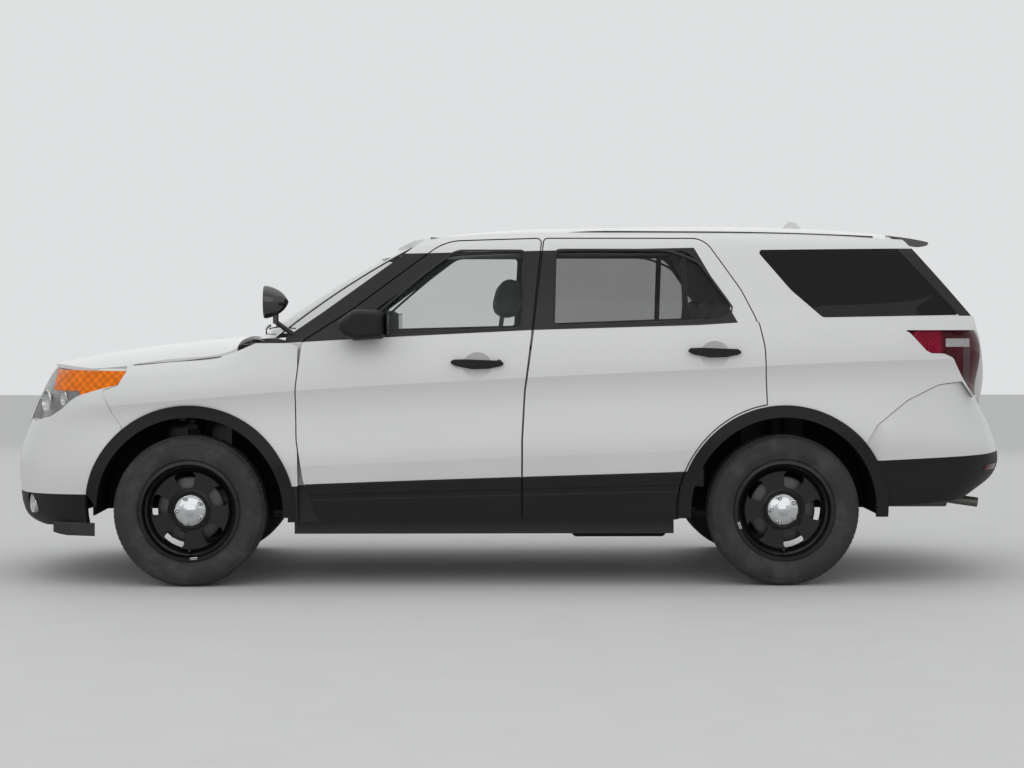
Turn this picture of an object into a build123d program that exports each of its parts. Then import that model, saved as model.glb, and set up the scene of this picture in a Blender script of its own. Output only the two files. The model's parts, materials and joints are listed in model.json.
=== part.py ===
"""Police sport utility vehicle, as an assembly of separate panels, glass, wheels and running gear.

Millimetres. +X points forwards, +Y to the vehicle's left, +Z up.
The origin is on the floor, midway between the front and rear ends, on the centre plane.
"""

from build123d import *
import math
import os

os.makedirs("parts", exist_ok=True)

# ---------------------------------------------------------------- driving dimensions
WHEELBASE = 2860.0
FRONT_AXLE_X = 1554.0
REAR_AXLE_X = FRONT_AXLE_X - WHEELBASE
HALF_TRACK = 851.0
TYRE_RADIUS = 363.0
TYRE_WIDTH = 245.0
RIM_RADIUS = 229.0
RIM_HALF_WIDTH = 100.0
BRAKE_RADIUS = 160.0
HUB_RADIUS = 29.95
BORE_CLEARANCE = 0.05
AXLE_Z = TYRE_RADIUS
ARCH_RADIUS = 450.0
MOULDING_WIDTH = 58.0
LINER_RADIUS = ARCH_RADIUS + 8
LINER_THICKNESS = 8.0

PANEL_GAP = 6.0
DOOR_INNER_Y = 838.0
DOOR_STEP = 55.0
FRAME_THICKNESS = 34.0
GLASS_THICKNESS = 5.0
FIT = 0.4
KINGPIN_Y = HALF_TRACK - 65
DAMPER_Y = HALF_TRACK - 245
LOWER_BALL_Z = AXLE_Z - 159
UPPER_BALL_Z = AXLE_Z + 423
HATCH_DEPTH = 62.0
FLOOR_Z = 300.0
FLOOR_THICKNESS = 22.0
FLOOR_TOP_Z = FLOOR_Z + FLOOR_THICKNESS
TUNNEL_TOP_Z = FLOOR_TOP_Z + 30
LOAD_FLOOR_Z = 842.0
RAIL_Y = 430.0
RAIL_HALF_WIDTH = 40.0
RAIL_TOP_Z = 560.0
TOWER_Z = 880.0
CUP_RADIUS = 58.0
CUP_DEPTH = 17.0

STRETCH = WHEELBASE - 2860.0
STRETCH_FROM_X = -200.0


def aft(x):
    """Station x of the basic vehicle, moved back with the rear axle by any change of wheelbase."""
    return x - STRETCH if x < STRETCH_FROM_X else x


def stretched(points):
    """Points whose first number is a station, moved by aft."""
    return [(aft(x), *rest) for x, *rest in points]


# ---------------------------------------------------------------- feature curves, (x, value) in rising x
HALF_WIDTH = stretched([(-2300, 872), (-2100, 926), (-1800, 968), (-1306, 990), (-800, 988), (0, 985),
                        (900, 985), (1554, 990), (1850, 964), (2010, 930), (2080, 906)])
BELT_Z = stretched([(-2250, 1299), (-1481, 1288), (-896, 1251), (-81, 1227), (542, 1196), (1020, 1172),
                    (1100, 1165)])
FENDER_TOP_Z = [(900, 1200), (1150, 1178), (1300, 1150), (1384, 1110), (1600, 1080), (1823, 1064),
                (2080, 1038)]
FENDER_TOP_INSET = [(900, 48), (1200, 60), (1384, 84), (1823, 88), (2080, 88)]
CHARACTER_Z = stretched([(-2250, 1095), (-1750, 1083), (-834, 1040), (-218, 1012), (911, 951), (1500, 905),
                         (2080, 856)])
CREASE_Z = stretched([(-2250, 700), (-1306, 690), (-764, 653), (-36, 624), (1007, 583), (2080, 550)])
PAINT_EDGE_Z = stretched([(-2250, 590), (-1690, 575), (-800, 551), (974, 494), (2080, 443)])
SILL_Z = stretched([(-2250, 330), (-830, 321), (950, 304), (2080, 300)])
GLASS_BELT_Y = stretched([(-2250, 795), (-1800, 848), (-1481, 874), (-896, 893), (0, 900), (542, 893),
                          (1150, 862)])
GLASS_TOP_Y = stretched([(-2250, 700), (-1800, 728), (-1200, 744), (-400, 752), (400, 745), (1150, 715)])
ROOF_EDGE_Z = stretched([(-2050, 1668), (-1700, 1690), (-1100, 1708), (-150, 1710), (300, 1690), (600, 1650),
                         (1150, 1560)])


def smooth(x, table):
    """Value at x on a smooth curve without overshoot through a feature curve's points."""
    if x <= table[0][0]:
        return table[0][1]
    if x >= table[-1][0]:
        return table[-1][1]
    gaps = [b[0] - a[0] for a, b in zip(table, table[1:])]
    slopes = [(b[1] - a[1]) / h for a, b, h in zip(table, table[1:], gaps)]
    tangents = [slopes[0]]
    for left, right in zip(slopes, slopes[1:]):
        tangents.append(0.0 if left * right <= 0 else 2 * left * right / (left + right))
    tangents.append(slopes[-1])
    i = max(k for k in range(len(gaps)) if table[k][0] <= x)
    t = (x - table[i][0]) / gaps[i]
    a, b = table[i][1], table[i + 1][1]
    ma, mb = tangents[i] * gaps[i], tangents[i + 1] * gaps[i]
    return ((2 * t**3 - 3 * t**2 + 1) * a + (t**3 - 2 * t**2 + t) * ma
            + (3 * t**2 - 2 * t**3) * b + (t**3 - t**2) * mb)


# ---------------------------------------------------------------- outlines and prisms
def rounded_points(corners):
    """Edges of a closed outline from corners (u, v, radius), with tangent arcs at the corners."""
    pieces = []
    count = len(corners)
    ends = []
    for i in range(count):
        before = Vector(*corners[i - 1][:2])
        here = Vector(*corners[i][:2])
        after = Vector(*corners[(i + 1) % count][:2])
        radius = corners[i][2]
        to_before = (before - here).normalized()
        to_after = (after - here).normalized()
        if radius <= 0:
            ends.append((here, None, here))
            continue
        half = math.acos(max(-1.0, min(1.0, to_before.dot(to_after)))) / 2
        reach = radius / math.tan(half)
        limit = 0.48 * min((before - here).length, (after - here).length)
        if reach > limit:
            reach = limit
            radius = reach * math.tan(half)
        bisector = (to_before + to_after).normalized()
        middle = here + bisector * (radius / math.sin(half) - radius)
        ends.append((here + to_before * reach, middle, here + to_after * reach))
    for i in range(count):
        start, middle, finish = ends[i]
        if middle is not None:
            pieces.append(("arc", start, middle, finish))
        pieces.append(("line", finish, ends[(i + 1) % count][0]))
    return pieces


def side_face(corners, y=0.0):
    """Face in the plane Y = y from corners (x, z, radius)."""
    edges = []
    for piece in rounded_points(corners):
        points = [Vector(p.X, y, p.Y) for p in piece[1:]]
        if piece[0] == "arc":
            edges.append(Edge.make_three_point_arc(*points))
        elif (points[0] - points[1]).length > 1e-6:
            edges.append(Edge.make_line(*points))
    return Face(Wire(edges))


def side_prism(corners, y0, y1):
    """Prism along Y from an outline in side view, between y0 and y1."""
    return Solid.extrude(side_face(corners, y0), Vector(0, y1 - y0, 0))


def front_prism(corners, x0, x1):
    """Prism along X from an outline (y, z, radius) in front view, between x0 and x1."""
    edges = []
    for piece in rounded_points(corners):
        points = [Vector(x0, p.X, p.Y) for p in piece[1:]]
        if piece[0] == "arc":
            edges.append(Edge.make_three_point_arc(*points))
        elif (points[0] - points[1]).length > 1e-6:
            edges.append(Edge.make_line(*points))
    return Solid.extrude(Face(Wire(edges)), Vector(x1 - x0, 0, 0))


def top_prism(corners, z0, z1):
    """Prism along Z from an outline (x, y, radius) in plan, between z0 and z1."""
    edges = []
    for piece in rounded_points(corners):
        points = [Vector(p.X, p.Y, z0) for p in piece[1:]]
        if piece[0] == "arc":
            edges.append(Edge.make_three_point_arc(*points))
        elif (points[0] - points[1]).length > 1e-6:
            edges.append(Edge.make_line(*points))
    return Solid.extrude(Face(Wire(edges)), Vector(0, 0, z1 - z0))


def block(x0, x1, y0, y1, z0, z1):
    """Box between two corners."""
    return Solid.make_box(x1 - x0, y1 - y0, z1 - z0, Plane((x0, y0, z0)))


def rod_y(x, z, radius, y0, y1):
    """Cylinder along Y."""
    return Solid.make_cylinder(radius, y1 - y0, Plane(origin=(x, y0, z), z_dir=(0, 1, 0)))


def rod_x(x0, x1, y, z, radius):
    """Cylinder along X."""
    return Solid.make_cylinder(radius, x1 - x0, Plane(origin=(x0, y, z), z_dir=(1, 0, 0)))


def rod_between(start, end, radius):
    """Round bar between two points."""
    a, b = Vector(*start), Vector(*end)
    return Solid.make_cylinder(radius, (b - a).length, Plane(origin=a, z_dir=(b - a)))


def grown(corners, amount):
    """An outline (u, v, radius) moved outwards by amount, or inwards where amount is negative."""
    count = len(corners)
    area = sum(corners[i - 1][0] * corners[i][1] - corners[i][0] * corners[i - 1][1] for i in range(count))
    side = 1.0 if area > 0 else -1.0
    moved = []
    for i in range(count):
        a, b, c = (Vector(*corners[j % count][:2]) for j in (i - 1, i, i + 1))
        n1 = Vector((b - a).Y, -(b - a).X).normalized() * side
        n2 = Vector((c - b).Y, -(c - b).X).normalized() * side
        n = (n1 + n2).normalized()
        reach = min(3.0, 1.0 / max(0.2, n.dot(n1)))
        p = b + n * (amount * reach)
        radius = corners[i][2]
        turn = (b - a).cross(c - b).Z * side
        if radius > 0:
            radius = max(1.0, radius + (amount if turn > 0 else -amount))
        moved.append((p.X, p.Y, radius))
    return moved


def mirrored(shape):
    """The same shape on the other side of the centre plane."""
    return shape.mirror(Plane.XZ)


def solids_of(shape):
    """One compound of the solids of a shape or list of shapes."""
    shapes = shape if isinstance(shape, (list, tuple)) else [shape]
    return Compound([s for item in shapes for s in item.solids()])


def biggest(shape):
    """The largest solid of a shape."""
    return max(shape.solids(), key=lambda s: s.volume)


def write(name, shape):
    """Writes one node's solids."""
    export_step(solids_of(shape), f"parts/{name}.step")


# ---------------------------------------------------------------- body side surface
def lower_profile(x, top_z, top_inset, proud=0.0):
    """Outer (y, z) points of the body side below the belt at station x, from the sill up."""
    width = smooth(x, HALF_WIDTH) + proud
    crease = smooth(x, CREASE_Z)
    character = smooth(x, CHARACTER_Z)
    paint = smooth(x, PAINT_EDGE_Z)
    sill = smooth(x, SILL_Z)
    return [
        (width - 52, sill),
        (width - 20, paint),
        (width, crease),
        (width - 17, crease + 0.42 * (character - crease)),
        (width - 24, character - 42),
        (width - 8, character),
        (width - 17, character + 0.5 * (top_z - character)),
        (width - top_inset, top_z),
    ]


def lower_section(x, top_z, top_inset, inner_y, proud=0.0):
    """Closed section wire of the body side below the belt, with a flat inner face."""
    p = [Vector(x, y, z) for y, z in lower_profile(x, top_z, top_inset, proud)]
    inner_low = Vector(x, inner_y, p[0].Z)
    inner_high = Vector(x, inner_y, p[-1].Z)
    return Wire([
        Edge.make_line(p[0], p[1]),
        Edge.make_line(p[1], p[2]),
        Edge.make_spline([p[2], p[3], p[4], p[5]]),
        Edge.make_spline([p[5], p[6], p[7]]),
        Edge.make_line(p[7], inner_high),
        Edge.make_line(inner_high, inner_low),
        Edge.make_line(inner_low, p[0]),
    ])


SIDE_STATIONS = [aft(x) for x in (1100, 900, 542, 0, -500, -900, -1306, -1600, -1850, -2050, -2250)]
FENDER_STATIONS = [900, 1100, 1250, 1384, 1554, 1700, 1850, 1980, 2080]


def side_slab(inner_y, proud=0.0):
    """Body side below the belt from the front door back, as one solid."""
    return Solid.make_loft([
        lower_section(x, smooth(x, BELT_Z), 48, inner_y, proud) for x in SIDE_STATIONS
    ])


def fender_slab(inner_y, proud=0.0):
    """Body side ahead of the front door, as one solid."""
    return Solid.make_loft([
        lower_section(x, smooth(x, FENDER_TOP_Z), smooth(x, FENDER_TOP_INSET), inner_y, proud)
        for x in FENDER_STATIONS
    ])


def upper_profile(x):
    """Outer (y, z) points of the cabin side above the belt at station x."""
    belt = smooth(x, BELT_Z)
    edge = smooth(x, ROOF_EDGE_Z)
    low = smooth(x, GLASS_BELT_Y)
    high = smooth(x, GLASS_TOP_Y)
    top = edge - 84
    return [
        (low + 16, belt - 60),
        (low, belt),
        (low + 0.5 * (high - low) + 9, belt + 0.5 * (top - belt)),
        (high, top),
        (high - 30, edge - 34),
        (high - 88, edge),
    ]


def offset_profile(points, depth):
    """A (y, z) profile moved inwards along its own normals."""
    moved = []
    for i, (y, z) in enumerate(points):
        before = points[max(i - 1, 0)]
        after = points[min(i + 1, len(points) - 1)]
        dy, dz = after[0] - before[0], after[1] - before[1]
        length = math.hypot(dy, dz)
        moved.append((y - dz / length * depth, z + dy / length * depth))
    return moved


UPPER_STATIONS = [aft(x) for x in (1150, 850, 500, 100, -400, -900, -1300, -1700, -2000, -2250)]


def upper_slab(near, far, reach=0.0):
    """Cabin side above the belt, between two depths under its outer surface; reach lengthens it each way."""
    sections = []
    for x in UPPER_STATIONS:
        profile = upper_profile(x)
        if reach:
            (y0, z0), (y1, z1) = profile[-2:]
            long = math.hypot(y1 - y0, z1 - z0)
            profile[-1] = (y1 + (y1 - y0) / long * reach, z1 + (z1 - z0) / long * reach)
            profile[0] = (profile[0][0], profile[0][1] - reach)
        at = x - math.copysign(reach / 2, x)
        outer = [Vector(at, y, z) for y, z in offset_profile(profile, near)]
        inner = [Vector(at, y, z) for y, z in offset_profile(profile, far)]
        sections.append(Wire([
            Edge.make_spline(outer),
            Edge.make_line(outer[-1], inner[-1]),
            Edge.make_spline(inner[::-1]),
            Edge.make_line(inner[0], outer[0]),
        ]))
    return Solid.make_loft(sections)


# ---------------------------------------------------------------- shape helpers
def joined(*shapes):
    """Shapes fused into one."""
    first, *rest = [solids_of(shape) for shape in shapes]
    return solids_of(first.fuse(*rest)) if rest else first


def minus(shape, *tools):
    """A shape with the tools cut away."""
    return solids_of(solids_of(shape).cut(*[t for tool in tools for t in solids_of(tool).solids()]))


def common(shape, *tools):
    """What a shape shares with every tool in turn."""
    result = solids_of(shape)
    for tool in tools:
        shared = result.intersect(solids_of(tool))
        result = solids_of(shared if shared is not None else [])
    return result


def under_curve(table, shift, x0, x1, y0, y1):
    """Everything below a feature curve, between two stations."""
    xs = [x0 + (x1 - x0) * i / 8 for i in range(9)]
    top = Edge.make_spline([Vector(x, y0, smooth(x, table) + shift) for x in xs])
    corners = [top @ 1, Vector(x1, y0, 100), Vector(x0, y0, 100), top @ 0]
    lines = [Edge.make_line(a, b) for a, b in zip(corners, corners[1:])]
    return Solid.extrude(Face(Wire([top, *lines])), Vector(0, y1 - y0, 0))


def above_belt(shift, y0, y1):
    """Everything above the belt line moved up by shift."""
    return minus(block(aft(-2400), 1200, y0, y1, 900, 1500),
                 under_curve(BELT_Z, shift, aft(-2450), 1250, y0 - 1, y1 + 1))


# ---------------------------------------------------------------- side-view outlines, (x, z, corner radius)
FRONT_DOOR = [(-38, 318, 12), (938, 318, 30), (1005, 500, 250), (1036, 705, 300), (1041, 944, 500),
              (1012, 1176, 40), (782, 1323, 600), (327, 1662, 250), (-141, 1676, 20), (-86, 1208, 400),
              (-52, 944, 600), (-38, 705, 500)]
REAR_DOOR = stretched([(-1217, 318, 0), (-47, 318, 12), (-47, 705, 500), (-61, 944, 600), (-98, 1208, 400),
                       (-157, 1676, 20), (-935, 1676, 110), (-1105, 1425, 400), (-1178, 1275, 300),
                       (-1205, 1150, 300), (-1217, 900, 0)])
FRONT_WINDOW = [(-38, 1244, 14), (676, 1225, 24), (664, 1330, 40), (300, 1598, 150), (262, 1612, 60),
                (-54, 1612, 18)]
REAR_WINDOW = stretched([(-202, 1255, 14), (-1012, 1286, 50), (-1066, 1332, 50), (-862, 1616, 90),
                         (-216, 1616, 20)])
WINDOW_BAR_X = (aft(-848), aft(-821))
QUARTER_WINDOW = stretched([(-1190, 1622, 15), (-1350, 1425, 300), (-1500, 1292, 40), (-2176, 1304, 8),
                            (-1885, 1630, 8)])
TAIL_LAMP = stretched([(-1888, 1230, 6), (-2450, 1230, 0), (-2450, 915, 0), (-2236, 915, 10),
                       (-2184, 995, 40),
                       (-2128, 1098, 30), (-2082, 1119, 20), (-2017, 1121, 20), (-1992, 1134, 15),
                       (-1912, 1220, 10)])
REAR_COVER = stretched([(-1703, 250, 0), (-1703, 688, 0), (-1750, 771, 20), (-1904, 892, 250),
                        (-2059, 965, 160),
                        (-2176, 980, 12), (-2236, 904, 12), (-2600, 904, 0), (-2600, 250, 0)])
HEADLAMP = [(1858, 1034, 4), (1897, 968, 10), (1987, 947, 30), (2089, 917, 30), (2133, 893, 20),
            (2179, 851, 20), (2244, 812, 20), (2345, 786, 15), (2520, 786, 0), (2520, 1040, 0)]
DOOR_ARCH_RADIUS = 520.0
BODY_FLANGE_Y = 884.0
DOOR_SKIN_Y = 908.0
SILL_TOP_Z = 458.0
BODY_INNER_Y = 800.0
PILLAR_DEPTH = 80.0


def arch_cylinder(axle_x, radius, y0, y1):
    """Round space about a wheel, on the left."""
    return rod_y(axle_x, AXLE_Z, radius, y0, y1)


def door_space(outline, amount, rear, lowest=None):
    """A door's outline as a prism through the side, grown by amount; the rear one clears its arch."""
    space = side_prism(grown(outline, amount), 560, 1100)
    if rear:
        space = minus(space, arch_cylinder(REAR_AXLE_X, DOOR_ARCH_RADIUS - amount, 500, 1150))
    if lowest is not None:
        space = common(space, block(aft(-2600), 2600, 500, 1200, lowest, 2000))
    return solids_of(space)


# ---------------------------------------------------------------- nose and tail, as ribs round a plan curve
NOSE_PLAN = [(1840, 966), (1950, 946), (2060, 914), (2170, 862), (2270, 790), (2355, 690), (2420, 560),
             (2468, 380), (2495, 190), (2503, 0)]
NOSE_SIDE = [(300, 52), (450, 20), (556, 0), (700, 17), (830, 24), (872, 8), (960, 34), (1046, 88)]
NOSE_CENTRE = [(254, 130), (300, 30), (420, 4), (590, 0), (666, 26), (794, 77), (930, 137), (1046, 200)]
TAIL_PLAN = stretched([(-1640, 979), (-1800, 968), (-1950, 950), (-2090, 925), (-2200, 885), (-2290, 820),
                       (-2360, 720),
                       (-2415, 580), (-2458, 400), (-2490, 200), (-2503, 0)])
TAIL_SIDE = [(384, 52), (470, 33), (590, 20), (700, 0), (850, 17), (1000, 24), (1090, 8), (1165, 22),
             (1240, 36)]
TAIL_CENTRE = [(432, 170), (448, 100), (488, 30), (560, 0), (666, 26), (728, 67), (794, 128), (950, 105),
               (1240, 133)]


def rib(plan, index, side, centre, thickness, mirror):
    """Closed section wire standing on a plan point, square to the plan curve."""
    x, y = plan[index]
    before, after = plan[max(index - 1, 0)], plan[min(index + 1, len(plan) - 1)]
    if index == len(plan) - 1:
        after = (x, -plan[-2][1])
        before = (x, plan[-2][1])
    tangent = Vector(after[0] - before[0], after[1] - before[1], 0).normalized()
    inward = Vector(tangent.Y, -tangent.X, 0)
    if inward.dot(Vector(0.5 * x, y + 1, 0)) > 0:
        inward = inward * -1
    share = index / (len(plan) - 1)
    weight = share * share * (3 - 2 * share)
    outer, inner = [], []
    for (zs, ins), (zc, inc) in zip(side, centre):
        z = zs + (zc - zs) * weight
        inset = ins + (inc - ins) * weight
        for line, depth in ((outer, inset), (inner, inset + thickness)):
            p = Vector(x, y, z) + inward * depth
            line.append(Vector(p.X, -p.Y if mirror else p.Y, p.Z))
    return Wire([
        Edge.make_spline(outer),
        Edge.make_line(outer[-1], inner[-1]),
        Edge.make_spline(inner[::-1]),
        Edge.make_line(inner[0], outer[0]),
    ])


def end_shell(plan, side, centre, thickness):
    """Shell standing round one end of the vehicle, from one wheel opening to the other."""
    count = len(plan)
    left = [rib(plan, i, side, centre, thickness, False) for i in range(count)]
    right = [rib(plan, i, side, centre, thickness, True) for i in range(count - 1)]
    return Solid.make_loft(left + right[::-1])


NOSE = end_shell(NOSE_PLAN, NOSE_SIDE, NOSE_CENTRE, 80)
TAIL = end_shell(TAIL_PLAN, TAIL_SIDE, TAIL_CENTRE, 80)


def both_sides(space):
    """A left-hand tool with its mirror image."""
    return solids_of([space, mirrored(space)])


# ---------------------------------------------------------------- body side
FENDER_SPLIT = [(1897, 968, 10), (1974, 942, 15), (1925, 835, 60), (1880, 772, 5)]
HATCH_EDGE = stretched([(-1900, 1712, 0), (-1942, 1655, 40), (-2238, 1299, 60), (-2252, 1230, 0)])


def body_side():
    """Left body side: sill, pillars, roof rail and rear quarter, open for both doors."""
    outside = block(aft(-2400), 1200, BODY_FLANGE_Y, 1200, 0, 1400)
    shoulder = above_belt(-90, 828, 1200)
    wall = minus(
        side_slab(BODY_INNER_Y),
        common(door_space(FRONT_DOOR, PANEL_GAP, False), shoulder),
        common(door_space(REAR_DOOR, PANEL_GAP, True), shoulder),
        common(door_space(FRONT_DOOR, PANEL_GAP, False), outside),
        common(door_space(REAR_DOOR, PANEL_GAP, True), outside),
        door_space(FRONT_DOOR, PANEL_GAP - DOOR_STEP + 4, False, SILL_TOP_Z),
        door_space(REAR_DOOR, PANEL_GAP - DOOR_STEP + 4, True, SILL_TOP_Z),
        block(-46, 1200, BODY_FLANGE_Y, 1200, 0, 1400),
        block(aft(-780), 0, BODY_FLANGE_Y, 1200, 0, 470),
    )
    skin = minus(upper_slab(0, 45), door_space(FRONT_DOOR, PANEL_GAP, False),
                 side_prism(grown(REAR_DOOR, PANEL_GAP), 560, 1100))
    flange = minus(upper_slab(42, PILLAR_DEPTH, 3), door_space(FRONT_DOOR, PANEL_GAP - DOOR_STEP + 4, False),
                   side_prism(grown(REAR_DOOR, PANEL_GAP - DOOR_STEP + 4), 560, 1100))
    upper = joined(skin, flange)
    side = joined(wall, upper)
    side = minus(
        side,
        side_prism([(1300, 1000, 0), (1300, 1800, 0), (430, 1800, 0), (430, 1672, 0), (912, 1322, 200),
                    (1095, 1196, 20), (1110, 1000, 0)], 500, 1100),
        side_prism([(aft(-1880), 1800, 0), *HATCH_EDGE, (aft(-2252), 100, 0), (aft(-2700), 100, 0),
                    (aft(-2700), 1800, 0)], 500, 1100),
        arch_cylinder(REAR_AXLE_X, LINER_RADIUS + LINER_THICKNESS + 4, 500, 905),
        arch_cylinder(REAR_AXLE_X, ARCH_RADIUS + MOULDING_WIDTH, 890, 1100),
        arch_cylinder(FRONT_AXLE_X, LINER_RADIUS + LINER_THICKNESS + 4, 500, 1100),
        side_prism(grown(QUARTER_WINDOW, -32), 560, 1100),
        common(upper_slab(-5, 8), side_prism(QUARTER_WINDOW, 560, 1100)),
        side_prism(grown(TAIL_LAMP, 1.5), 560, 1100),
        side_prism(grown(REAR_COVER, 3.5), 560, 1100),
        roof_space(FIT + 0.3),
        hatch_room(PANEL_GAP + 1),
    )
    return biggest(side)


def front_fender():
    """Left front fender, between the hood, the front door, the lamp and the bumper."""
    panel = fender_slab(826)
    panel = minus(
        panel,
        side_prism([*grown(FRONT_DOOR, PANEL_GAP)], 560, 1100),
        block(800, 1116, 700, 892, 0, 1400),
        block(800, 1034, 700, 1100, 0, 1160),
        arch_cylinder(FRONT_AXLE_X, LINER_RADIUS + LINER_THICKNESS + 4, 500, 905),
        arch_cylinder(FRONT_AXLE_X, ARCH_RADIUS + MOULDING_WIDTH, 890, 1100),
        side_prism([(1858 - 3, 1200, 0), (1858 - 3, 1034, 4),
                    *[(x - 3, z - 2, r) for x, z, r in FENDER_SPLIT],
                    (1870, 600, 0), (1870, 200, 0), (2300, 200, 0), (2300, 1200, 0)], 500, 1100),
        side_prism([(870, 1215, 0), (1012, 1176, 0), (1100, 1120, 0), (1000, 1000, 0), (870, 1000, 0)], 500,
                   885),
        hood_space(PANEL_GAP),
    )
    return biggest(panel)


# ---------------------------------------------------------------- doors
def handle_cup(x, z):
    """Round hollow behind a door handle's grip."""
    y = smooth(x, HALF_WIDTH) - 20
    radius = (CUP_RADIUS ** 2 + CUP_DEPTH ** 2) / (2 * CUP_DEPTH)
    return Solid.make_sphere(radius).moved(Location((x, y + radius - CUP_DEPTH, z)))


def door_shell(outline, rear, window, handle_x, handle_z):
    """Door: outer skin over the whole outline, full depth behind it, and a window frame above."""
    whole = door_space(outline, 0, rear)
    shifted = [(x + 10, z, r) for x, z, r in outline]
    deep = common(side_slab(DOOR_INNER_Y), door_space(outline, -DOOR_STEP, rear, SILL_TOP_Z + 12),
                  door_space(shifted, -DOOR_STEP, False))
    skin = common(side_slab(DOOR_SKIN_Y), whole)
    frame = common(upper_slab(0, FRAME_THICKNESS), side_prism(outline, 560, 1100))
    shelf = common(side_slab(876), whole, above_belt(-30, 800, 1100))
    door = joined(deep, skin, shelf, frame)
    return biggest(minus(door, side_prism(window, 560, 1100), handle_cup(handle_x, handle_z)))


def door_glass(window, rear):
    """Side window pane filling the opening in its frame; the rear door has a fixed pane behind a bar."""
    panes = common(upper_slab(12, 12 + GLASS_THICKNESS), side_prism(grown(window, -FIT), 560, 1100))
    if rear:
        back, front = WINDOW_BAR_X
        panes = minus(panes, block(back - FIT, front + FIT, 560, 1100, 1200, 1700))
    return panes


CLADDING_PROUD = 7.0
CLADDING_GROOVE = 3.0


def cladding_section(x):
    """Closed section of the lower cladding at station x, with its shallow groove."""
    (y0, z0), (y1, z1) = lower_profile(x, 0, 0)[:2]
    run, rise = y1 - y0, z1 - z0
    length = math.hypot(run, rise)
    along, out = Vector(0, run, rise) * (1 / length), Vector(0, rise, -run) * (1 / length)
    low, high = Vector(x, y0, z0), Vector(x, y1, z1)
    lift = [(0.0, 0.3), (0.0, CLADDING_PROUD), (0.58, CLADDING_PROUD),
            (0.61, CLADDING_PROUD - CLADDING_GROOVE),
            (0.71, CLADDING_PROUD - CLADDING_GROOVE), (0.74, CLADDING_PROUD), (0.97, CLADDING_PROUD),
            (1.0, 0.3)]
    points = [low + along * (length * share) + out * depth for share, depth in lift]
    return Wire([Edge.make_line(a, b) for a, b in zip(points, points[1:] + points[:1])])


def door_trim(outline, rear, handle_x, handle_z):
    """Lower cladding and pull handle of a door; the rear one adds the bar between its panes."""
    whole = door_space(outline, -1, rear)
    cladding = common(Solid.make_loft([cladding_section(x) for x in SIDE_STATIONS[:8]]), whole)
    y = smooth(handle_x, HALF_WIDTH) - 20
    x, z = handle_x, handle_z
    grip = side_prism([(x - 132, z - 2, 9), (x - 112, z + 15, 14), (x + 60, z + 22, 90),
                       (x + 118, z + 20, 14),
                       (x + 132, z + 4, 12), (x + 104, z - 10, 20), (x + 26, z - 26, 60),
                       (x - 52, z - 24, 60),
                       (x - 110, z - 12, 20)], y + 20, y + 38)
    grip = grip.fillet(6, grip.edges().group_by(Axis.Y)[-1])
    posts = [rod_y(x + s * 104, z + 4, 11, y - 2, y + 26) for s in (-1, 1)]
    handle = biggest(minus(joined(grip, *posts), side_slab(DOOR_SKIN_Y, 0.3)))
    pieces = [biggest(cladding), handle]
    if rear:
        back, front = WINDOW_BAR_X
        bar = common(upper_slab(5, 26), side_prism(grown(REAR_WINDOW, -FIT), 560, 1100),
                     block(back, front, 560, 1100, 1200, 1700))
        pieces.append(biggest(bar))
    return solids_of(pieces)


MIRROR_SHELL = [(604, 1192, 30), (608, 1326, 44), (760, 1334, 90), (842, 1264, 60), (822, 1206, 50),
                (752, 1182, 40)]


def mirror_wire(y, scale):
    """Outline of the mirror shell in the plane Y = y, scaled about its middle."""
    mid_x, mid_z = 715.0, 1258.0
    face = side_face([(mid_x + (u - mid_x) * scale, mid_z + (v - mid_z) * scale, r * scale)
                      for u, v, r in MIRROR_SHELL], y)
    return face.outer_wire()


def mirror_unit():
    """Left outside mirror on its foot at the front of the door's window."""
    steps = [(948, 0.70), (962, 0.88), (990, 0.98), (1060, 1.0), (1112, 0.93), (1136, 0.78), (1144, 0.62)]
    housing = Solid.make_loft([mirror_wire(y, scale) for y, scale in steps])
    pocket = top_prism([(590, 972, 6), (626, 972, 6), (604, 1124, 6), (590, 1124, 6)], 1206, 1314)
    glass = top_prism([(612, 974, 0), (618, 974, 0), (600, 1122, 0), (594, 1122, 0)], 1208, 1312)
    foot = side_prism([(646, 1196, 10), (668, 1240, 20), (776, 1236, 20), (798, 1196, 10)], 888, 985)
    door = side_prism(FRONT_DOOR, 560, 1100)
    keep_off = common(joined(side_slab(DOOR_SKIN_Y, 0.3), upper_slab(-0.3, FRAME_THICKNESS)), door)
    unit = minus(joined(housing, foot), keep_off, pocket)
    return solids_of([biggest(unit), glass])


# ---------------------------------------------------------------- roof, hood, hatch
ROOF_CENTRE_Z = stretched([(-1960, 1712), (-1905, 1716), (-1475, 1747), (-965, 1757), (-150, 1742),
                           (258, 1711),
                           (411, 1681), (580, 1636)])
HOOD_CENTRE_Z = [(1310, 1196), (1403, 1190), (1650, 1166), (1900, 1137), (2100, 1106), (2252, 1074),
                 (2330, 1052)]
HOOD_EDGE_Y = [(1310, 912), (1384, 900), (1554, 896), (1823, 872), (2080, 812), (2330, 700)]
HOOD_EDGE_Z = [(1310, 1150), (1384, 1112), (1554, 1088), (1823, 1064), (2080, 1044), (2330, 1030)]


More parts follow.
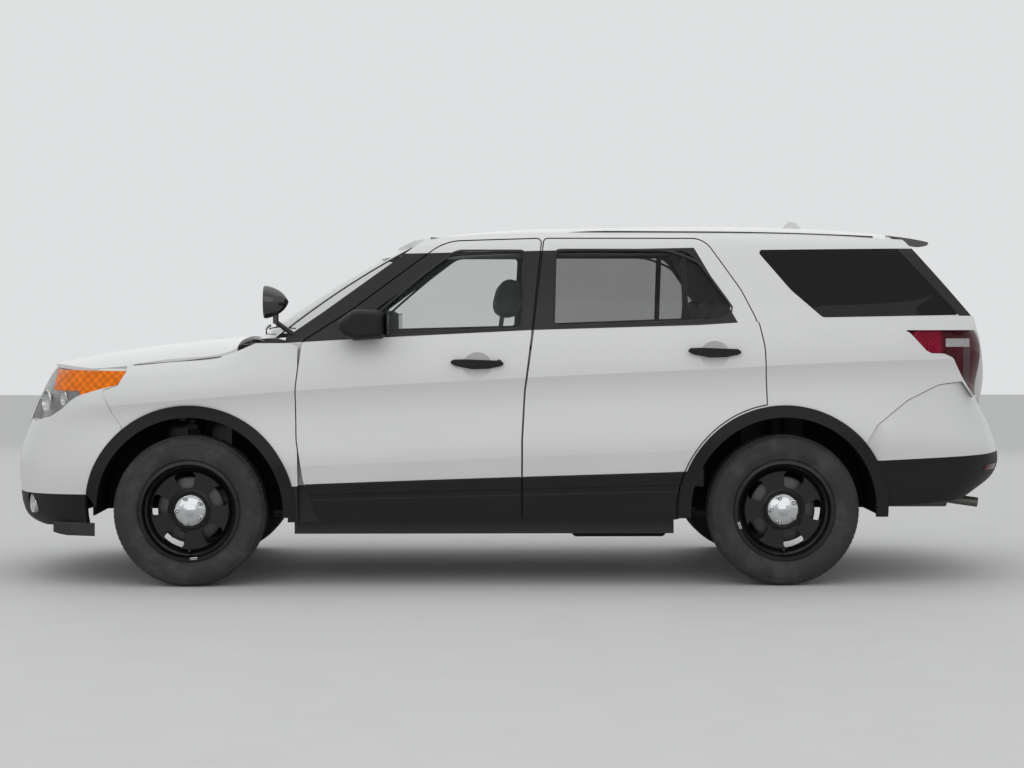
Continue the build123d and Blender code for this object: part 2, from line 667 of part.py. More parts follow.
def crowned_loft(stations, edge_y, edge_z, centre_z, thickness, drop=0.0, lift=0.0):
    """Panel across the centre plane from its edge and centre heights; lift raises its upper face."""
    sections = []
    for x in stations:
        y, z, top = edge_y(x), edge_z(x), centre_z(x)
        rise = top - z
        shape = [(-1.0, 0.0), (-0.8, 0.52), (-0.45, 0.86), (0.0, 1.0), (0.45, 0.86), (0.8, 0.52), (1.0, 0.0)]
        upper = [Vector(x, u * y, z + lift + v * rise) for u, v in shape]
        lower = [Vector(x, u * (y - drop), z - thickness + v * rise) for u, v in shape]
        sections.append(Wire([
            Edge.make_spline(upper),
            Edge.make_line(upper[-1], lower[-1]),
            Edge.make_spline(lower[::-1]),
            Edge.make_line(lower[0], upper[0]),
        ]))
    return Solid.make_loft(sections)


ROOF_STATIONS = [aft(x) for x in (585, 400, 200, -150, -600, -1100, -1500, -1800, -1905, -1960)]
ROOF_THICKNESS = 34.0


def roof_space(gap, lift=0.0):
    """Space of the roof skin before its ends are trimmed, grown by gap at the sides and underneath."""
    def edge_y(x):
        return smooth(x, GLASS_TOP_Y) - 90 + gap

    def edge_z(x):
        return smooth(x, ROOF_EDGE_Z) - 1

    def centre_z(x):
        return smooth(x, ROOF_CENTRE_Z)

    return crowned_loft(ROOF_STATIONS, edge_y, edge_z, centre_z, ROOF_THICKNESS + gap, 0, lift)


def roof_panel():
    """Roof between the two side rails, following the windscreen in front and the tailgate behind."""
    back = HATCH_OUTER[0][0] + PANEL_GAP + 8
    rear = [(back + hatch_shift(y), y, 900 if abs(y) < 700 else 20)
            for y in (-720, -480, -240, 0, 240, 480, 720)]
    keep = top_prism([(458, 720, 60), (573, 250, 400), (573, -250, 400), (458, -720, 60), *rear], 1400, 1900)
    doors = [side_prism(grown(outline, PANEL_GAP), 640, 1100) for outline in (FRONT_DOOR, REAR_DOOR)]
    return biggest(minus(common(roof_space(0), keep), *[both_sides(door) for door in doors],
                         hatch_room(PANEL_GAP)))


def nose_gap(inset):
    """Plan outline of the nose's inner top rim, moved inwards by inset, as a tall prism."""
    rim = []
    count = len(NOSE_PLAN)
    for i in range(1, count):
        x, y = NOSE_PLAN[i]
        before = NOSE_PLAN[i - 1]
        after = NOSE_PLAN[i + 1] if i + 1 < count else (x, -NOSE_PLAN[-2][1])
        if i == count - 1:
            before = (x, NOSE_PLAN[-2][1])
        tangent = Vector(after[0] - before[0], after[1] - before[1], 0).normalized()
        inward = Vector(tangent.Y, -tangent.X, 0)
        if inward.dot(Vector(x, y + 1, 0)) > 0:
            inward = inward * -1
        share = i / (count - 1)
        weight = share * share * (3 - 2 * share)
        top_inset = NOSE_SIDE[-1][1] + (NOSE_CENTRE[-1][1] - NOSE_SIDE[-1][1]) * weight
        rim.append(Vector(x, y, 0) + inward * (top_inset + inset))
    right = [Vector(p.X, -p.Y, 0) for p in rim[:-1]]
    points = rim + right[::-1]
    wire = Wire([Edge.make_spline([Vector(p.X, p.Y, 900) for p in points]),
                 Edge.make_line(Vector(points[-1].X, points[-1].Y, 900), Vector(1200, points[-1].Y, 900)),
                 Edge.make_line(Vector(1200, points[-1].Y, 900), Vector(1200, points[0].Y, 900)),
                 Edge.make_line(Vector(1200, points[0].Y, 900), Vector(points[0].X, points[0].Y, 900))])
    return Solid.extrude(Face(wire), Vector(0, 0, 400))


HOOD_THICKNESS = 18.0
HOOD_FRAME = 16.0
HOOD_STATIONS = [1310, 1384, 1554, 1823, 2080, 2330]


def hood_loft(gap, thickness, drop=0.0, lift=0.0):
    """Crowned panel on the hood's curves, grown by gap at its side edges."""
    def edge_y(x):
        return smooth(x, HOOD_EDGE_Y) - PANEL_GAP + gap

    def edge_z(x):
        return smooth(x, HOOD_EDGE_Z)

    def centre_z(x):
        return smooth(x, HOOD_CENTRE_Z)

    return crowned_loft(HOOD_STATIONS, edge_y, edge_z, centre_z, thickness, drop, lift)


def hood_space(gap):
    """Space of the hood grown by gap at its edges and underneath, open above."""
    return common(hood_loft(gap, HOOD_THICKNESS + gap, 0, 60), nose_gap(-gap))


def hood():
    """Hood panel with its stiffening frame underneath."""
    keep = top_prism([(1330, 1000, 0), (1330, -1000, 0), (2500, -1000, 0), (2500, 1000, 0)], 900, 1400)
    skin = common(hood_loft(0, HOOD_THICKNESS, 6), keep, nose_gap(0))
    frame = hood_loft(0, HOOD_THICKNESS + HOOD_FRAME, 6, 3 - HOOD_THICKNESS)
    inside = top_prism([(1360, 800, 60), (1360, -800, 60), (2030, -620, 120), (2165, -300, 200),
                        (2165, 300, 200), (2030, 620, 120)], 900, 1400)
    pockets = []
    for y0, y1, x1 in ((60, 330, 2090), (390, 660, 1950), (-330, -60, 2090), (-660, -390, 1950)):
        for x0, x2 in ((1440, 1440 + 0.45 * (x1 - 1440)), (1500 + 0.45 * (x1 - 1440), x1)):
            pockets.append(top_prism([(x0, y0, 40), (x2, y0, 40), (x2, y1, 40), (x0, y1, 40)], 900, 1400))
    return biggest(joined(skin, minus(common(frame, inside), *pockets)))


def windshield():
    """Windscreen, bowed in plan."""
    sections = []
    for y in (-780, -600, -300, 0, 300, 600, 780):
        back = 0.000235 * y * y
        lift = 10 * (y / 780) ** 2
        low = Vector(1290 - back, y, 1182 + lift)
        high = Vector(590 - back, y, 1628 + lift)
        middle = (low + high) * 0.5 + Vector(10, 0, 16)
        inset = Vector(-4, 0, -6)
        sections.append(Wire([
            Edge.make_spline([low, middle, high]),
            Edge.make_line(high, high + inset),
            Edge.make_spline([high + inset, middle + inset, low + inset]),
            Edge.make_line(low + inset, low),
        ]))
    pane = Solid.make_loft(sections)
    keep = front_prism([(762, 1160, 10), (632, 1660, 30), (-632, 1660, 30), (-762, 1160, 10)], 300, 1400)
    return biggest(common(pane, keep))


HATCH_OUTER = stretched([(-1916, 1700), (-2011, 1646), (-2160, 1473), (-2300, 1307), (-2352, 1227),
                         (-2377, 1120),
                         (-2383, 972), (-2366, 870), (-2356, 803)])


def hatch_shift(y):
    """How far forward of the centre line the hatch's surface lies at y."""
    return 0.000138 * y * y


def hatch_loft(near, far, top, bottom):
    """Slice of the hatch between two depths and two heights on its centre-line curve."""
    outline = [(x, z) for x, z in HATCH_OUTER if bottom - 1 <= z <= top + 1]
    sections = []
    for y in (-740, -500, -250, 0, 250, 500, 740):
        shift = hatch_shift(y)
        outer, inner = [], []
        for i, (x, z) in enumerate(outline):
            before, after = outline[max(i - 1, 0)], outline[min(i + 1, len(outline) - 1)]
            dx, dz = after[0] - before[0], after[1] - before[1]
            length = math.hypot(dx, dz)
            nx, nz = -dz / length, dx / length
            outer.append(Vector(x + shift + nx * near, y, z + nz * near))
            inner.append(Vector(x + shift + nx * far, y, z + nz * far))
        sections.append(Wire([
            Edge.make_spline(outer),
            Edge.make_line(outer[-1], inner[-1]),
            Edge.make_spline(inner[::-1]),
            Edge.make_line(inner[0], outer[0]),
        ]))
    return Solid.make_loft(sections)


HATCH_FRONT = [(0, 806, 0), (610, 806, 60), (668, 915, 60), (706, 1225, 20), (700, 1300, 60), (628, 1664, 12),
               (505, 1691, 300), (284, 1704, 600), (0, 1710, 0)]


def symmetric_outline(half):
    """Outline (y, z, radius) completed with its mirror image; the half starts and ends on the centre."""
    inner = [corner for corner in half if corner[0] > 0]
    return inner + [(-y, z, r) for y, z, r in inner[::-1]]


HATCH_GLASS = [(0, 1318, 0), (606, 1318, 40), (560, 1622, 40), (0, 1622, 0)]


def hatch_room(gap):
    """Space the tailgate needs inside the body, grown by gap at its edges and in depth."""
    outline = grown(symmetric_outline(HATCH_FRONT), gap)
    return common(hatch_loft(-40, HATCH_DEPTH + gap, 1710, 800), front_prism(outline, aft(-2600), aft(-1700)))


def liftgate():
    """Tailgate with a recess for its glass and one for the plate."""
    outline = front_prism(symmetric_outline(HATCH_FRONT), aft(-2600), aft(-1700))
    gate = common(hatch_loft(0, HATCH_DEPTH, 1710, 800), outline)
    plate = front_prism([(-262, 925, 14), (262, 925, 14), (262, 1090, 14), (-262, 1090, 14)],
                        aft(-2600), aft(-2200))
    holes = [Solid.make_cylinder(3.5, 60, Plane(origin=(aft(-2420), y, 975), z_dir=(1, 0, 0)))
             for y in (-89, 89)]
    gate = minus(gate, front_prism(symmetric_outline(grown_half(HATCH_GLASS, -30)), aft(-2600), aft(-1700)),
                 common(hatch_loft(-3, 9, 1710, 1200),
                        front_prism(symmetric_outline(HATCH_GLASS), aft(-2600), aft(-1700))),
                 common(hatch_loft(-5, 14, 1710, 800), plate), *holes)
    return biggest(gate)


def grown_half(half, amount):
    """Half outline with its side and end edges moved outwards."""
    low, high = min(c[1] for c in half), max(c[1] for c in half)
    return [(y + (amount if y > 0 else 0), z + (amount if z == high else -amount if z == low else 0), r)
            for y, z, r in half]


def liftgate_glass():
    """Rear window in the tailgate's recess."""
    return common(hatch_loft(3, 8.6, 1710, 1200),
                  front_prism(symmetric_outline(grown_half(HATCH_GLASS, -FIT)), aft(-2600), aft(-1700)))


def rear_spoiler():
    """Lip above the rear window, carried by the tailgate."""
    lip = []
    for y in (-618, -320, 0, 320, 618):
        shift = hatch_shift(y) * 0.9
        points = [(-1922, 1712), (-2020, 1700), (-2108, 1682), (-2104, 1668), (-2060, 1658), (-1998, 1668),
                  (-1930, 1702)]
        drop = 20 * (y / 640) ** 2
        v = [Vector(aft(x) + shift, y, z - drop) for x, z in points]
        lip.append(Wire([Edge.make_spline(v[:3]), Edge.make_line(v[2], v[3]), Edge.make_spline(v[3:6]),
                         Edge.make_line(v[5], v[6]), Edge.make_line(v[6], v[0])]))
    return biggest(minus(Solid.make_loft(lip), hatch_loft(-0.3, 70, 1710, 800)))


# ---------------------------------------------------------------- front and rear ends
GRILLE_FRONT = [(0, 690, 0), (430, 690, 40), (520, 800, 40), (500, 1020, 20), (0, 1100, 0)]


def lamp_space_front():
    """Space of both headlamps."""
    space = common(side_prism(HEADLAMP, 560, 1100), block(1800, 2600, 560, 1100, 700, 1100))
    inner = front_prism([(512, 786, 10), (640, 786, 10), (1000, 700, 0), (1000, 1100, 0), (512, 1100, 0)],
                        2000, 2600)
    joined_space = common(side_prism(HEADLAMP, 505, 1100),
                          joined(inner, block(1800, 2200, 560, 1100, 700, 1100)))
    return both_sides(joined_space)


def bar_slots(rows, half, x0, x1, bars):
    """Openings between upright ribs in a grille, one row per (bottom, top)."""
    slots = []
    for low, high in rows:
        width = 2 * half / bars
        for i in range(bars):
            a = -half + i * width + 5
            slots.append(front_prism([(a, low, 8), (a + width - 10, low, 8), (a + width - 10, high, 8),
                                      (a, high, 8)],
                                     x0, x1))
    return slots


def front_end():
    """Bumper cover, dark valance, grille and both lamps, cut from one shell."""
    arch = both_sides(arch_cylinder(FRONT_AXLE_X, ARCH_RADIUS + MOULDING_WIDTH, 500, 1150))
    split = both_sides(side_prism([(1780, 1200, 0), (1856, 1200, 0), (1858, 1034, 4), *FENDER_SPLIT,
                                   (1870, 600, 0), (1870, 200, 0), (1780, 200, 0)], 500, 1100))
    shell = minus(NOSE, arch, split, hood_space(PANEL_GAP))
    lamp_space = lamp_space_front()
    lamps = common(shell, lamp_space)
    grille_space = front_prism(symmetric_outline(GRILLE_FRONT), 2100, 2600)
    slots = bar_slots([(728, 788), (808, 868), (888, 948)], 420, 2250, 2600, 4)
    grille = minus(common(shell, grille_space), lamp_space, *slots)
    rest = minus(shell, lamp_space, grille_space)
    low = side_prism([(1700, 448, 0), (2300, 436, 60), (2600, 427, 0), (2600, 100, 0), (1700, 100, 0)],
                     -1100, 1100)
    intake = bar_slots([(330, 372), (386, 416)], 440, 2250, 2600, 4)
    fogs = [Solid.make_cylinder(50, 60, Plane(origin=(2330, s * 640, 382),
                                              z_dir=(1, s * 0.5, 0))) for s in (-1, 1)]
    valance = minus(common(rest, low), *intake, *fogs)
    slot = front_prism([(-400, 560, 20), (400, 560, 20), (430, 640, 20), (-430, 640, 20)], 2250, 2600)
    bumper = minus(rest, low, slot)
    return solids_of([s for s in bumper.solids() if s.volume > 5e5]), biggest(valance), biggest(grille), lamps


def rear_end():
    """Rear bumper cover, dark valance and both tail lamps, cut from one shell."""
    arch = both_sides(arch_cylinder(REAR_AXLE_X, ARCH_RADIUS + MOULDING_WIDTH, 500, 1150))
    lamp_space = common(side_prism(TAIL_LAMP, 560, 1100),
                        joined(block(aft(-2300), aft(-1700), 700, 1100, 800, 1300),
                               front_prism([(678, 915, 0), (1000, 915, 0), (1000, 1300, 0), (712, 1300, 0),
                                            (712, 1225, 0)], aft(-2600), aft(-2000))))
    lamps = minus(common(TAIL, both_sides(lamp_space)), hatch_room(PANEL_GAP))
    cover = side_prism(REAR_COVER, -1100, 1100)
    hatch = front_prism([(-1000, 1400, 0), (-720, 1400, 0), (-676, 915, 60), (-620, 798, 60), (620, 798, 60),
                         (676, 915, 60), (720, 1400, 0)], aft(-2600), aft(-2000))
    rest = minus(common(TAIL, cover), arch, hatch, hatch_room(PANEL_GAP))
    low = side_prism(stretched([(-1600, 596, 0), (-2368, 629, 80), (-2600, 632, 0), (-2600, 100, 0),
                                (-1600, 100, 0)]), -1100, 1100)
    tips = [s for s in lamps.solids() if s.volume > 2e5]
    return biggest(minus(rest, low)), biggest(common(rest, low)), solids_of(tips)


def arch_mouldings():
    """Dark mouldings round the four wheel openings."""
    pieces = []
    for axle, slab in ((FRONT_AXLE_X, fender_slab(800, 10)), (REAR_AXLE_X, side_slab(800, 10))):
        ring = minus(arch_cylinder(axle, ARCH_RADIUS + MOULDING_WIDTH - FIT, 906, 1100),
                     arch_cylinder(axle, ARCH_RADIUS, 890, 1110))
        piece = common(slab, ring, block(axle - 600, axle + 600, 900, 1100, AXLE_Z - 33, 1100))
        pieces.append(biggest(piece))
    return both_sides(solids_of(pieces))


def wheel_liners():
    """Wheelhouse shells behind the four openings."""
    pieces = []
    for axle in (FRONT_AXLE_X, REAR_AXLE_X):
        shell = minus(arch_cylinder(axle, LINER_RADIUS + LINER_THICKNESS, 484, 903),
                      arch_cylinder(axle, LINER_RADIUS, 492, 910))
        shell = minus(shell, block(axle - 600, axle + 600, 400, 1000, -200, AXLE_Z - 23),
                      block(axle - 160, axle + 160, 400, 496, AXLE_Z - 63, AXLE_Z + 497),
                      Solid.make_cylinder(62, 400, Plane((axle, DAMPER_Y + 4, AXLE_Z + 337))))
        pieces.append(biggest(shell))
    return both_sides(solids_of(pieces))


# ---------------------------------------------------------------- structure and cabin
def floor_pan():
    """Floor, sills, bulkheads, load floor and chassis rails in one piece."""
    rear = aft(-780)
    sill = block(rear - 6, 1060, 700, BODY_INNER_Y - FIT, 240, SILL_TOP_Z)
    floor = block(rear - 10, 1060, -700, 700, FLOOR_Z, FLOOR_TOP_Z)
    firewall = block(1040, 1060, -798, 798, FLOOR_Z, 1100)
    heel = block(rear - 32, rear - 10, -700, 700, FLOOR_Z, 560)
    step = block(aft(-1150), rear - 10, -478, 478, 540, 560)
    back = block(aft(-1172), aft(-1150), -478, 478, 540, LOAD_FLOOR_Z + 20)
    half = [(-1150, 478, 0), (-1780, 478, 0), (-1780, 780, 0), (-2130, 780, 60), (-2250, 560, 60)]
    load = top_prism(stretched(half + [(x, -y, r) for x, y, r in half[::-1]]), LOAD_FLOOR_Z,
                     LOAD_FLOOR_Z + 20)
    rails = [block(aft(-2240), aft(-1172), y - 35, y + 35, 520, LOAD_FLOOR_Z) for y in (-RAIL_Y, RAIL_Y)]
    ribs = [block(aft(x) - 12, aft(x) + 12, -478, 478, LOAD_FLOOR_Z - 16, LOAD_FLOOR_Z)
            for x in (-1400, -1650, -1900)]
    tunnel = block(aft(-390), 1040, -130, 130, FLOOR_TOP_Z, TUNNEL_TOP_Z)
    chassis = [block(1060, 2180, y - RAIL_HALF_WIDTH, y + RAIL_HALF_WIDTH, 430, RAIL_TOP_Z)
               for y in (-RAIL_Y, RAIL_Y)]
    cross = block(2040, 2180, -700, 700, 500, RAIL_TOP_Z)
    x, out = FRONT_AXLE_X, RAIL_Y + 22
    towers = []
    for s in (-1, 1):
        plate = sorted((s * (RAIL_Y - 30), s * (DAMPER_Y + 24)))
        towers.append(block(x - 84, x + 86, *plate, TOWER_Z, TOWER_Z + 20))
        towers.append(block(x - 54, x + 56, *sorted((s * (out - 52), s * out)), RAIL_TOP_Z, TOWER_Z + 20))
    return biggest(joined(floor, sill, mirrored(sill), firewall, heel, step, back, load, tunnel, *rails,
                          *ribs,
                          *chassis, cross, *towers))


def cowl_panel():
    """Panel between the hood and the windscreen."""
    plate = block(1060, 1322, -790, 790, 1112, 1128)
    lip = block(1296, 1322, -780, 780, 1128, 1160)
    return biggest(joined(plate, lip))


def dashboard():
    """Instrument panel with a centre console."""
    section = [(700, 780, 60), (660, 1000, 60), (720, 1080, 50), (1036, 1112, 20), (1036, 760, 30)]
    panel = side_prism(section, -760, 760)
    foot = TUNNEL_TOP_Z + FIT
    console = side_prism([(120, foot, 10), (120, 620, 40), (640, 640, 60), (740, 800, 40), (900, 800, 20),
                          (900, foot, 10)], -130, 130)
    column = rod_between((720, 380, 900), (598, 380, 957), 24)
    return biggest(joined(panel, console, column))


def seat(x, y, width, back_top):
    """Seat cushion, back and headrest at a seat position."""
    cushion = side_prism([(x + 20, 480, 30), (x + 20, 600, 50), (x + 520, 640, 60), (x + 520, 500, 40)],
                         y - width / 2, y + width / 2)
    back = side_prism([(x + 60, 500, 40), (x - 130, back_top, 50), (x - 20, back_top, 50),
                       (x + 170, 560, 40)],
                      y - width / 2, y + width / 2)
    return [cushion, back]


def front_seats():
    """Two front seats on their rails."""
    seats = []
    for y in (380, -380):
        parts = seat(120, y, 500, 1230)
        head = side_prism([(-60, 1290, 30), (-75, 1460, 40), (30, 1470, 40), (30, 1290, 30)], y - 130,
                          y + 130)
        posts = [rod_between((-10, y + s * 70, 1200), (-14, y + s * 70, 1320), 7) for s in (-1, 1)]
        base = block(200, 560, y - 200, y + 200, FLOOR_TOP_Z + FIT, 500)
        seats.append(biggest(joined(*parts, head, *posts, base)))
    return solids_of(seats)


def rear_seat():
    """Rear bench across the cabin."""
    cushion = side_prism(stretched([(-770, 480, 30), (-770, 600, 40), (-300, 640, 60), (-300, 500, 40)]),
                         -640, 640)
    back = side_prism(stretched([(-770, 575, 30), (-990, 1230, 50), (-880, 1240, 40), (-650, 600, 40)]), -640,
                      640)
    base = block(aft(-740), aft(-400), -560, 560, FLOOR_TOP_Z + FIT, 520)
    rest = stretched([(-975, 1270, 20), (-990, 1400, 40), (-900, 1400, 40), (-895, 1270, 20)])
    heads = [side_prism(rest, y - 120, y + 120) for y in (-400, 400)]
    posts = [rod_between((aft(-936), y + s * 60, 1200), (aft(-940), y + s * 60, 1300), 7)
             for y in (-400, 400) for s in (-1, 1)]
    return biggest(joined(cushion, back, base, *heads, *posts))


def steering_wheel():
    """Steering wheel on the column's end."""
    grip = [Vector(178 + 15 * math.cos(k * math.pi / 5 + 0.3), 0, 15 * math.sin(k * math.pi / 5 + 0.3))
            for k in range(10)]
    rim = Solid.revolve(Face(Wire([Edge.make_line(a, b) for a, b in zip(grip, grip[1:] + grip[:1])])), 360,
                        Axis((0, 0, 0), (0, 0, 1)))
    hub = Solid.make_cylinder(52, 34, Plane((0, 0, -14)))
    spokes = [rod_between((30 * math.cos(a), 30 * math.sin(a), 0), (170 * math.cos(a), 170 * math.sin(a), 0),
                          10)
              for a in (0.3, math.pi - 0.3, -math.pi / 2)]
    flat = joined(rim, hub, *spokes)
    lean = math.degrees(math.atan2(122, 57))
    return biggest(flat.moved(Location((572, 380, 969), (0, -lean, 0))))


# ---------------------------------------------------------------- running gear
def revolved_y(points, centre):
    """Solid of revolution about a line along Y from (radius, y) points."""
    x, y0, z = centre
    corners = [Vector(x, y0 + y, z + r) for r, y in points]
    edges = [Edge.make_line(a, b) for a, b in zip(corners, corners[1:] + corners[:1])]
    return Solid.revolve(Face(Wire(edges)), 360, Axis((x, y0, z), (0, 1, 0)))


def tyre_profile():
    """Section (radius, offset) of the hollow tyre, over the tread from bead to bead and back inside."""
    wall, half, bead = TYRE_RADIUS - RIM_RADIUS, TYRE_WIDTH / 2, RIM_HALF_WIDTH
    outside = [(0.104, bead / half), (0.172, 0.914), (0.306, 0.971), (0.470, 1.0), (0.664, 0.971),
               (0.813, 0.898),
               (0.925, 0.808), (0.981, 0.686), (1.0, 0.408)]
    inside = [(0.127, 0.718), (0.455, 0.865), (0.716, 0.816), (0.866, 0.669), (0.896, 0.0)]
    over = [(0.0, bead / half), *outside]
    under = [(0.0, (bead - 16) / half), *inside]
    section = over + [(h, -w) for h, w in over[::-1]] + [(h, -w) for h, w in under] + under[-2::-1]
    return [(RIM_RADIUS + h * wall, w * half) for h, w in section]


def rim_profile():
    """Section (radius, offset) of the rim: two flanges, bead seats and a drop centre."""
    r, w = RIM_RADIUS, RIM_HALF_WIDTH
    seat = r - FIT
    return [(r + 11, w + 0.8), (r + 11, w + 7), (r - 3, w + 9), (r - 8, w - 2), (r - 13, 0.6 * w),
            (r - 29, 0.45 * w),
            (r - 33, -0.6 * w), (r - 15, -0.8 * w), (r - 10, -w), (r - 3, -w - 9), (r + 11, -w - 7),
            (r + 11, -w - 0.8), (seat, -w - 0.3), (seat, -0.8 * w), (r - 19, -0.62 * w), (r - 19, 0.2 * w),
            (r - 7, 0.5 * w), (seat, 0.7 * w), (seat, w + 0.3)]


def disc_profile(bore):
    """Section (radius, offset) of the wheel's pressed disc, from its bore to its weld on the rim."""
    r = RIM_RADIUS
    return [(bore, 20), (bore, 44), (88, 44), (106, 60), (r - 43, 60), (r - 29, 48), (r - 25, 20),
            (r - 31, 20),
            (r - 39, 42), (r - 47, 50), (108, 50), (92, 34), (80, 20)]


WHEEL_OPENINGS = 5


def wheel(axle_x, y, turn):
    """Pressed wheel with its brake disc, turned about its axle; the outer face points to +Y."""
    centre, bore = (0, 0, 0), HUB_RADIUS + BORE_CLEARANCE
    rim = revolved_y(rim_profile(), centre)
    disc = revolved_y(disc_profile(bore), centre)
    holes = []
    for i in range(WHEEL_OPENINGS):
        hole = side_prism([(-30, -40, 14), (-54, 22, 26), (-30, 42, 20), (30, 42, 20), (54, 22, 26),
                           (30, -40, 14)],
                          -50, 140)
        hole = hole.moved(Location((0, 0, RIM_RADIUS - 81)))
        holes.append(hole.rotate(Axis.Y, 360 / WHEEL_OPENINGS * i + 8))
    cap = revolved_y([(0, 44), (0, 60), (56, 58), (70, 50), (70, 44)], centre)
    brake = revolved_y([(bore, -12), (bore, 20), (80, 20), (80, 8), (BRAKE_RADIUS, 8), (BRAKE_RADIUS, -12)],
                       centre)
    whole = biggest(joined(minus(joined(rim, disc), *holes), cap, brake))
    return whole.rotate(Axis.Y, turn).moved(Location((axle_x, y, AXLE_Z)))


def tyre(axle_x, y):
    """Hollow tyre on its rim."""
    return revolved_y(tyre_profile(), (axle_x, y, AXLE_Z))


def front_knuckle():
    """Left steering knuckle: hub spindle, carrier, upper arm over the tyre and steering arm."""
    x, z, y = FRONT_AXLE_X, AXLE_Z, KINGPIN_Y
    spindle = rod_y(x, z, HUB_RADIUS, y - 26, HALF_TRACK + 41)
    carrier = rod_y(x, z, 62, y - 44, y + 36)
    lower = block(x - 28, x + 28, y - 44, y + 26, LOWER_BALL_Z + 16, z)
    neck = side_prism([(x - 32, z - 33, 10), (x - 26, UPPER_BALL_Z - 12, 20), (x + 26, UPPER_BALL_Z - 12, 20),
                       (x + 32, z - 33, 10)], y - 118, y - 74)
    web = block(x - 30, x + 30, y - 118, y + 4, z - 45, z + 45)
    top = block(x - 26, x + 26, y - 118, y + 26, UPPER_BALL_Z - 36, UPPER_BALL_Z - 12)
    tie = block(x - 150, x - 20, y - 86, y - 62, z - 33, z + 3)
    return biggest(joined(spindle, carrier, lower, neck, web, top, tie))


def front_suspension():
    """Control arms, dampers, subframe and rack, both sides in one piece."""
    x, y, d = FRONT_AXLE_X, KINGPIN_Y, DAMPER_Y
    low, high = LOWER_BALL_Z, UPPER_BALL_Z
    lower = joined(rod_between((x, y, low - 6), (x + 110, 330, low - 2), 16),
                   rod_between((x, y, low - 6), (x - 150, 330, low - 2), 16),
                   Solid.make_cylinder(24, 24, Plane((x, y, low - 12))))
    upper = joined(rod_between((x, y, high + 4), (x + 60, 474, high + 6), 11),
                   rod_between((x, y, high + 4), (x - 60, 474, high + 6), 11),
                   Solid.make_cylinder(20, 20, Plane((x, y, high - 8))))
    damper = joined(rod_between((x, d, low), (x, d, TOWER_Z), 24),
                    rod_between((x, d, 480), (x, d, TOWER_Z - 20), 44),
                    rod_between((x, d, low), (x + 44, d, low - 4), 18),
                    rod_between((x, d, low), (x - 60, d, low - 4), 18))
    mount = joined(rod_between((x - 60, 470, high + 6), (x + 60, 470, high + 6), 12),
                   block(x - 75, x - 55, 456, 483, high - 14, TOWER_Z),
                   block(x + 55, x + 75, 456, 483, high - 14, TOWER_Z))
    bottom, top = low - 24, low + 36
    frame = joined(block(x - 200, x + 160, 260, 360, bottom, top),
                   block(x - 200, x - 120, -330, 360, bottom, top),
                   block(x + 90, x + 160, -330, 360, bottom, top))
    left = joined(lower, damper, frame)
    return solids_of([joined(left, mirrored(left)), joined(upper, mount), mirrored(joined(upper, mount))])


def rear_suspension():
    """Rear subframe, arms, dampers and the hub spindles."""
    x, z, d, out = REAR_AXLE_X, AXLE_Z, DAMPER_Y, HALF_TRACK - 111
    spindle = rod_y(x, z, HUB_RADIUS, HALF_TRACK - 151, HALF_TRACK + 41)
    carrier = rod_y(x, z, 62, HALF_TRACK - 161, HALF_TRACK - 29)
    lower = joined(rod_between((x + 40, out, z - 63), (x + 60, 330, z - 133), 20),
                   rod_between((x - 40, out, z - 63), (x - 90, 330, z - 133), 20))
    trailing = rod_between((x + 30, out - 35, z - 33), (x + 400, out - 100, z - 33), 22)
    top = LOAD_FLOOR_Z - 4
    damper = joined(rod_between((x, d, z - 123), (x, d, top), 24),
                    rod_between((x, d, 480), (x, d, top - 23), 44),
                    rod_between((x, d, z - 101), (x + 52, d, z - 95), 18))
    upper = rod_between((x, out, z + 57), (x, 330, z + 67), 18)
    low, high = z - 163, z - 111
    frame = joined(block(x - 150, x + 130, 270, 350, low, high), block(x - 150, x - 80, -350, 350, low, high),
                   block(x + 50, x + 130, -350, 350, low, high),
                   block(x - 30, x + 30, 300, 350, low, z + 107))
    half = joined(spindle, carrier, lower, trailing, damper, upper, frame)
    return solids_of(joined(half, mirrored(half)))


def engine():
    """Engine with its cover and gearbox on two mounts, and the radiator ahead of it."""
    block_body = block(1290, 1760, -330, 250, 330, 760)
    block_body = block_body.fillet(36, block_body.edges())
    cover = top_prism([(1330, -290, 50), (1730, -290, 50), (1730, 210, 50), (1330, 210, 50)], 700, 872)
    cover = cover.fillet(18, cover.edges().group_by(Axis.Z)[-1])
    ribs = [block(1350, 1710, y - 8, y + 8, 866, 884) for y in (-220, -130, -40, 50, 140)]
    rail = RAIL_Y - RAIL_HALF_WIDTH - FIT
    gearbox = rod_y(1470, 450, 150, -384, -320)
    mounts = [rod_y(1600, 495, 40, -rail, -300), rod_y(1600, 495, 40, 220, rail)]
    sump = top_prism([(1340, -240, 40), (1700, -240, 40), (1700, 180, 40), (1340, 180, 40)], 262, 340)
    foot = RAIL_TOP_Z + FIT
    radiator = block(2060, 2118, -370, 370, foot, 950)
    fan = minus(block(2030, 2062, -330, 330, 600, 940), rod_x(2000, 2070, -165, 770, 150),
                rod_x(2000, 2070, 165, 770, 150))
    return solids_of([biggest(joined(block_body, cover, *ribs, gearbox, *mounts, sump)),
                      biggest(joined(radiator, fan))])


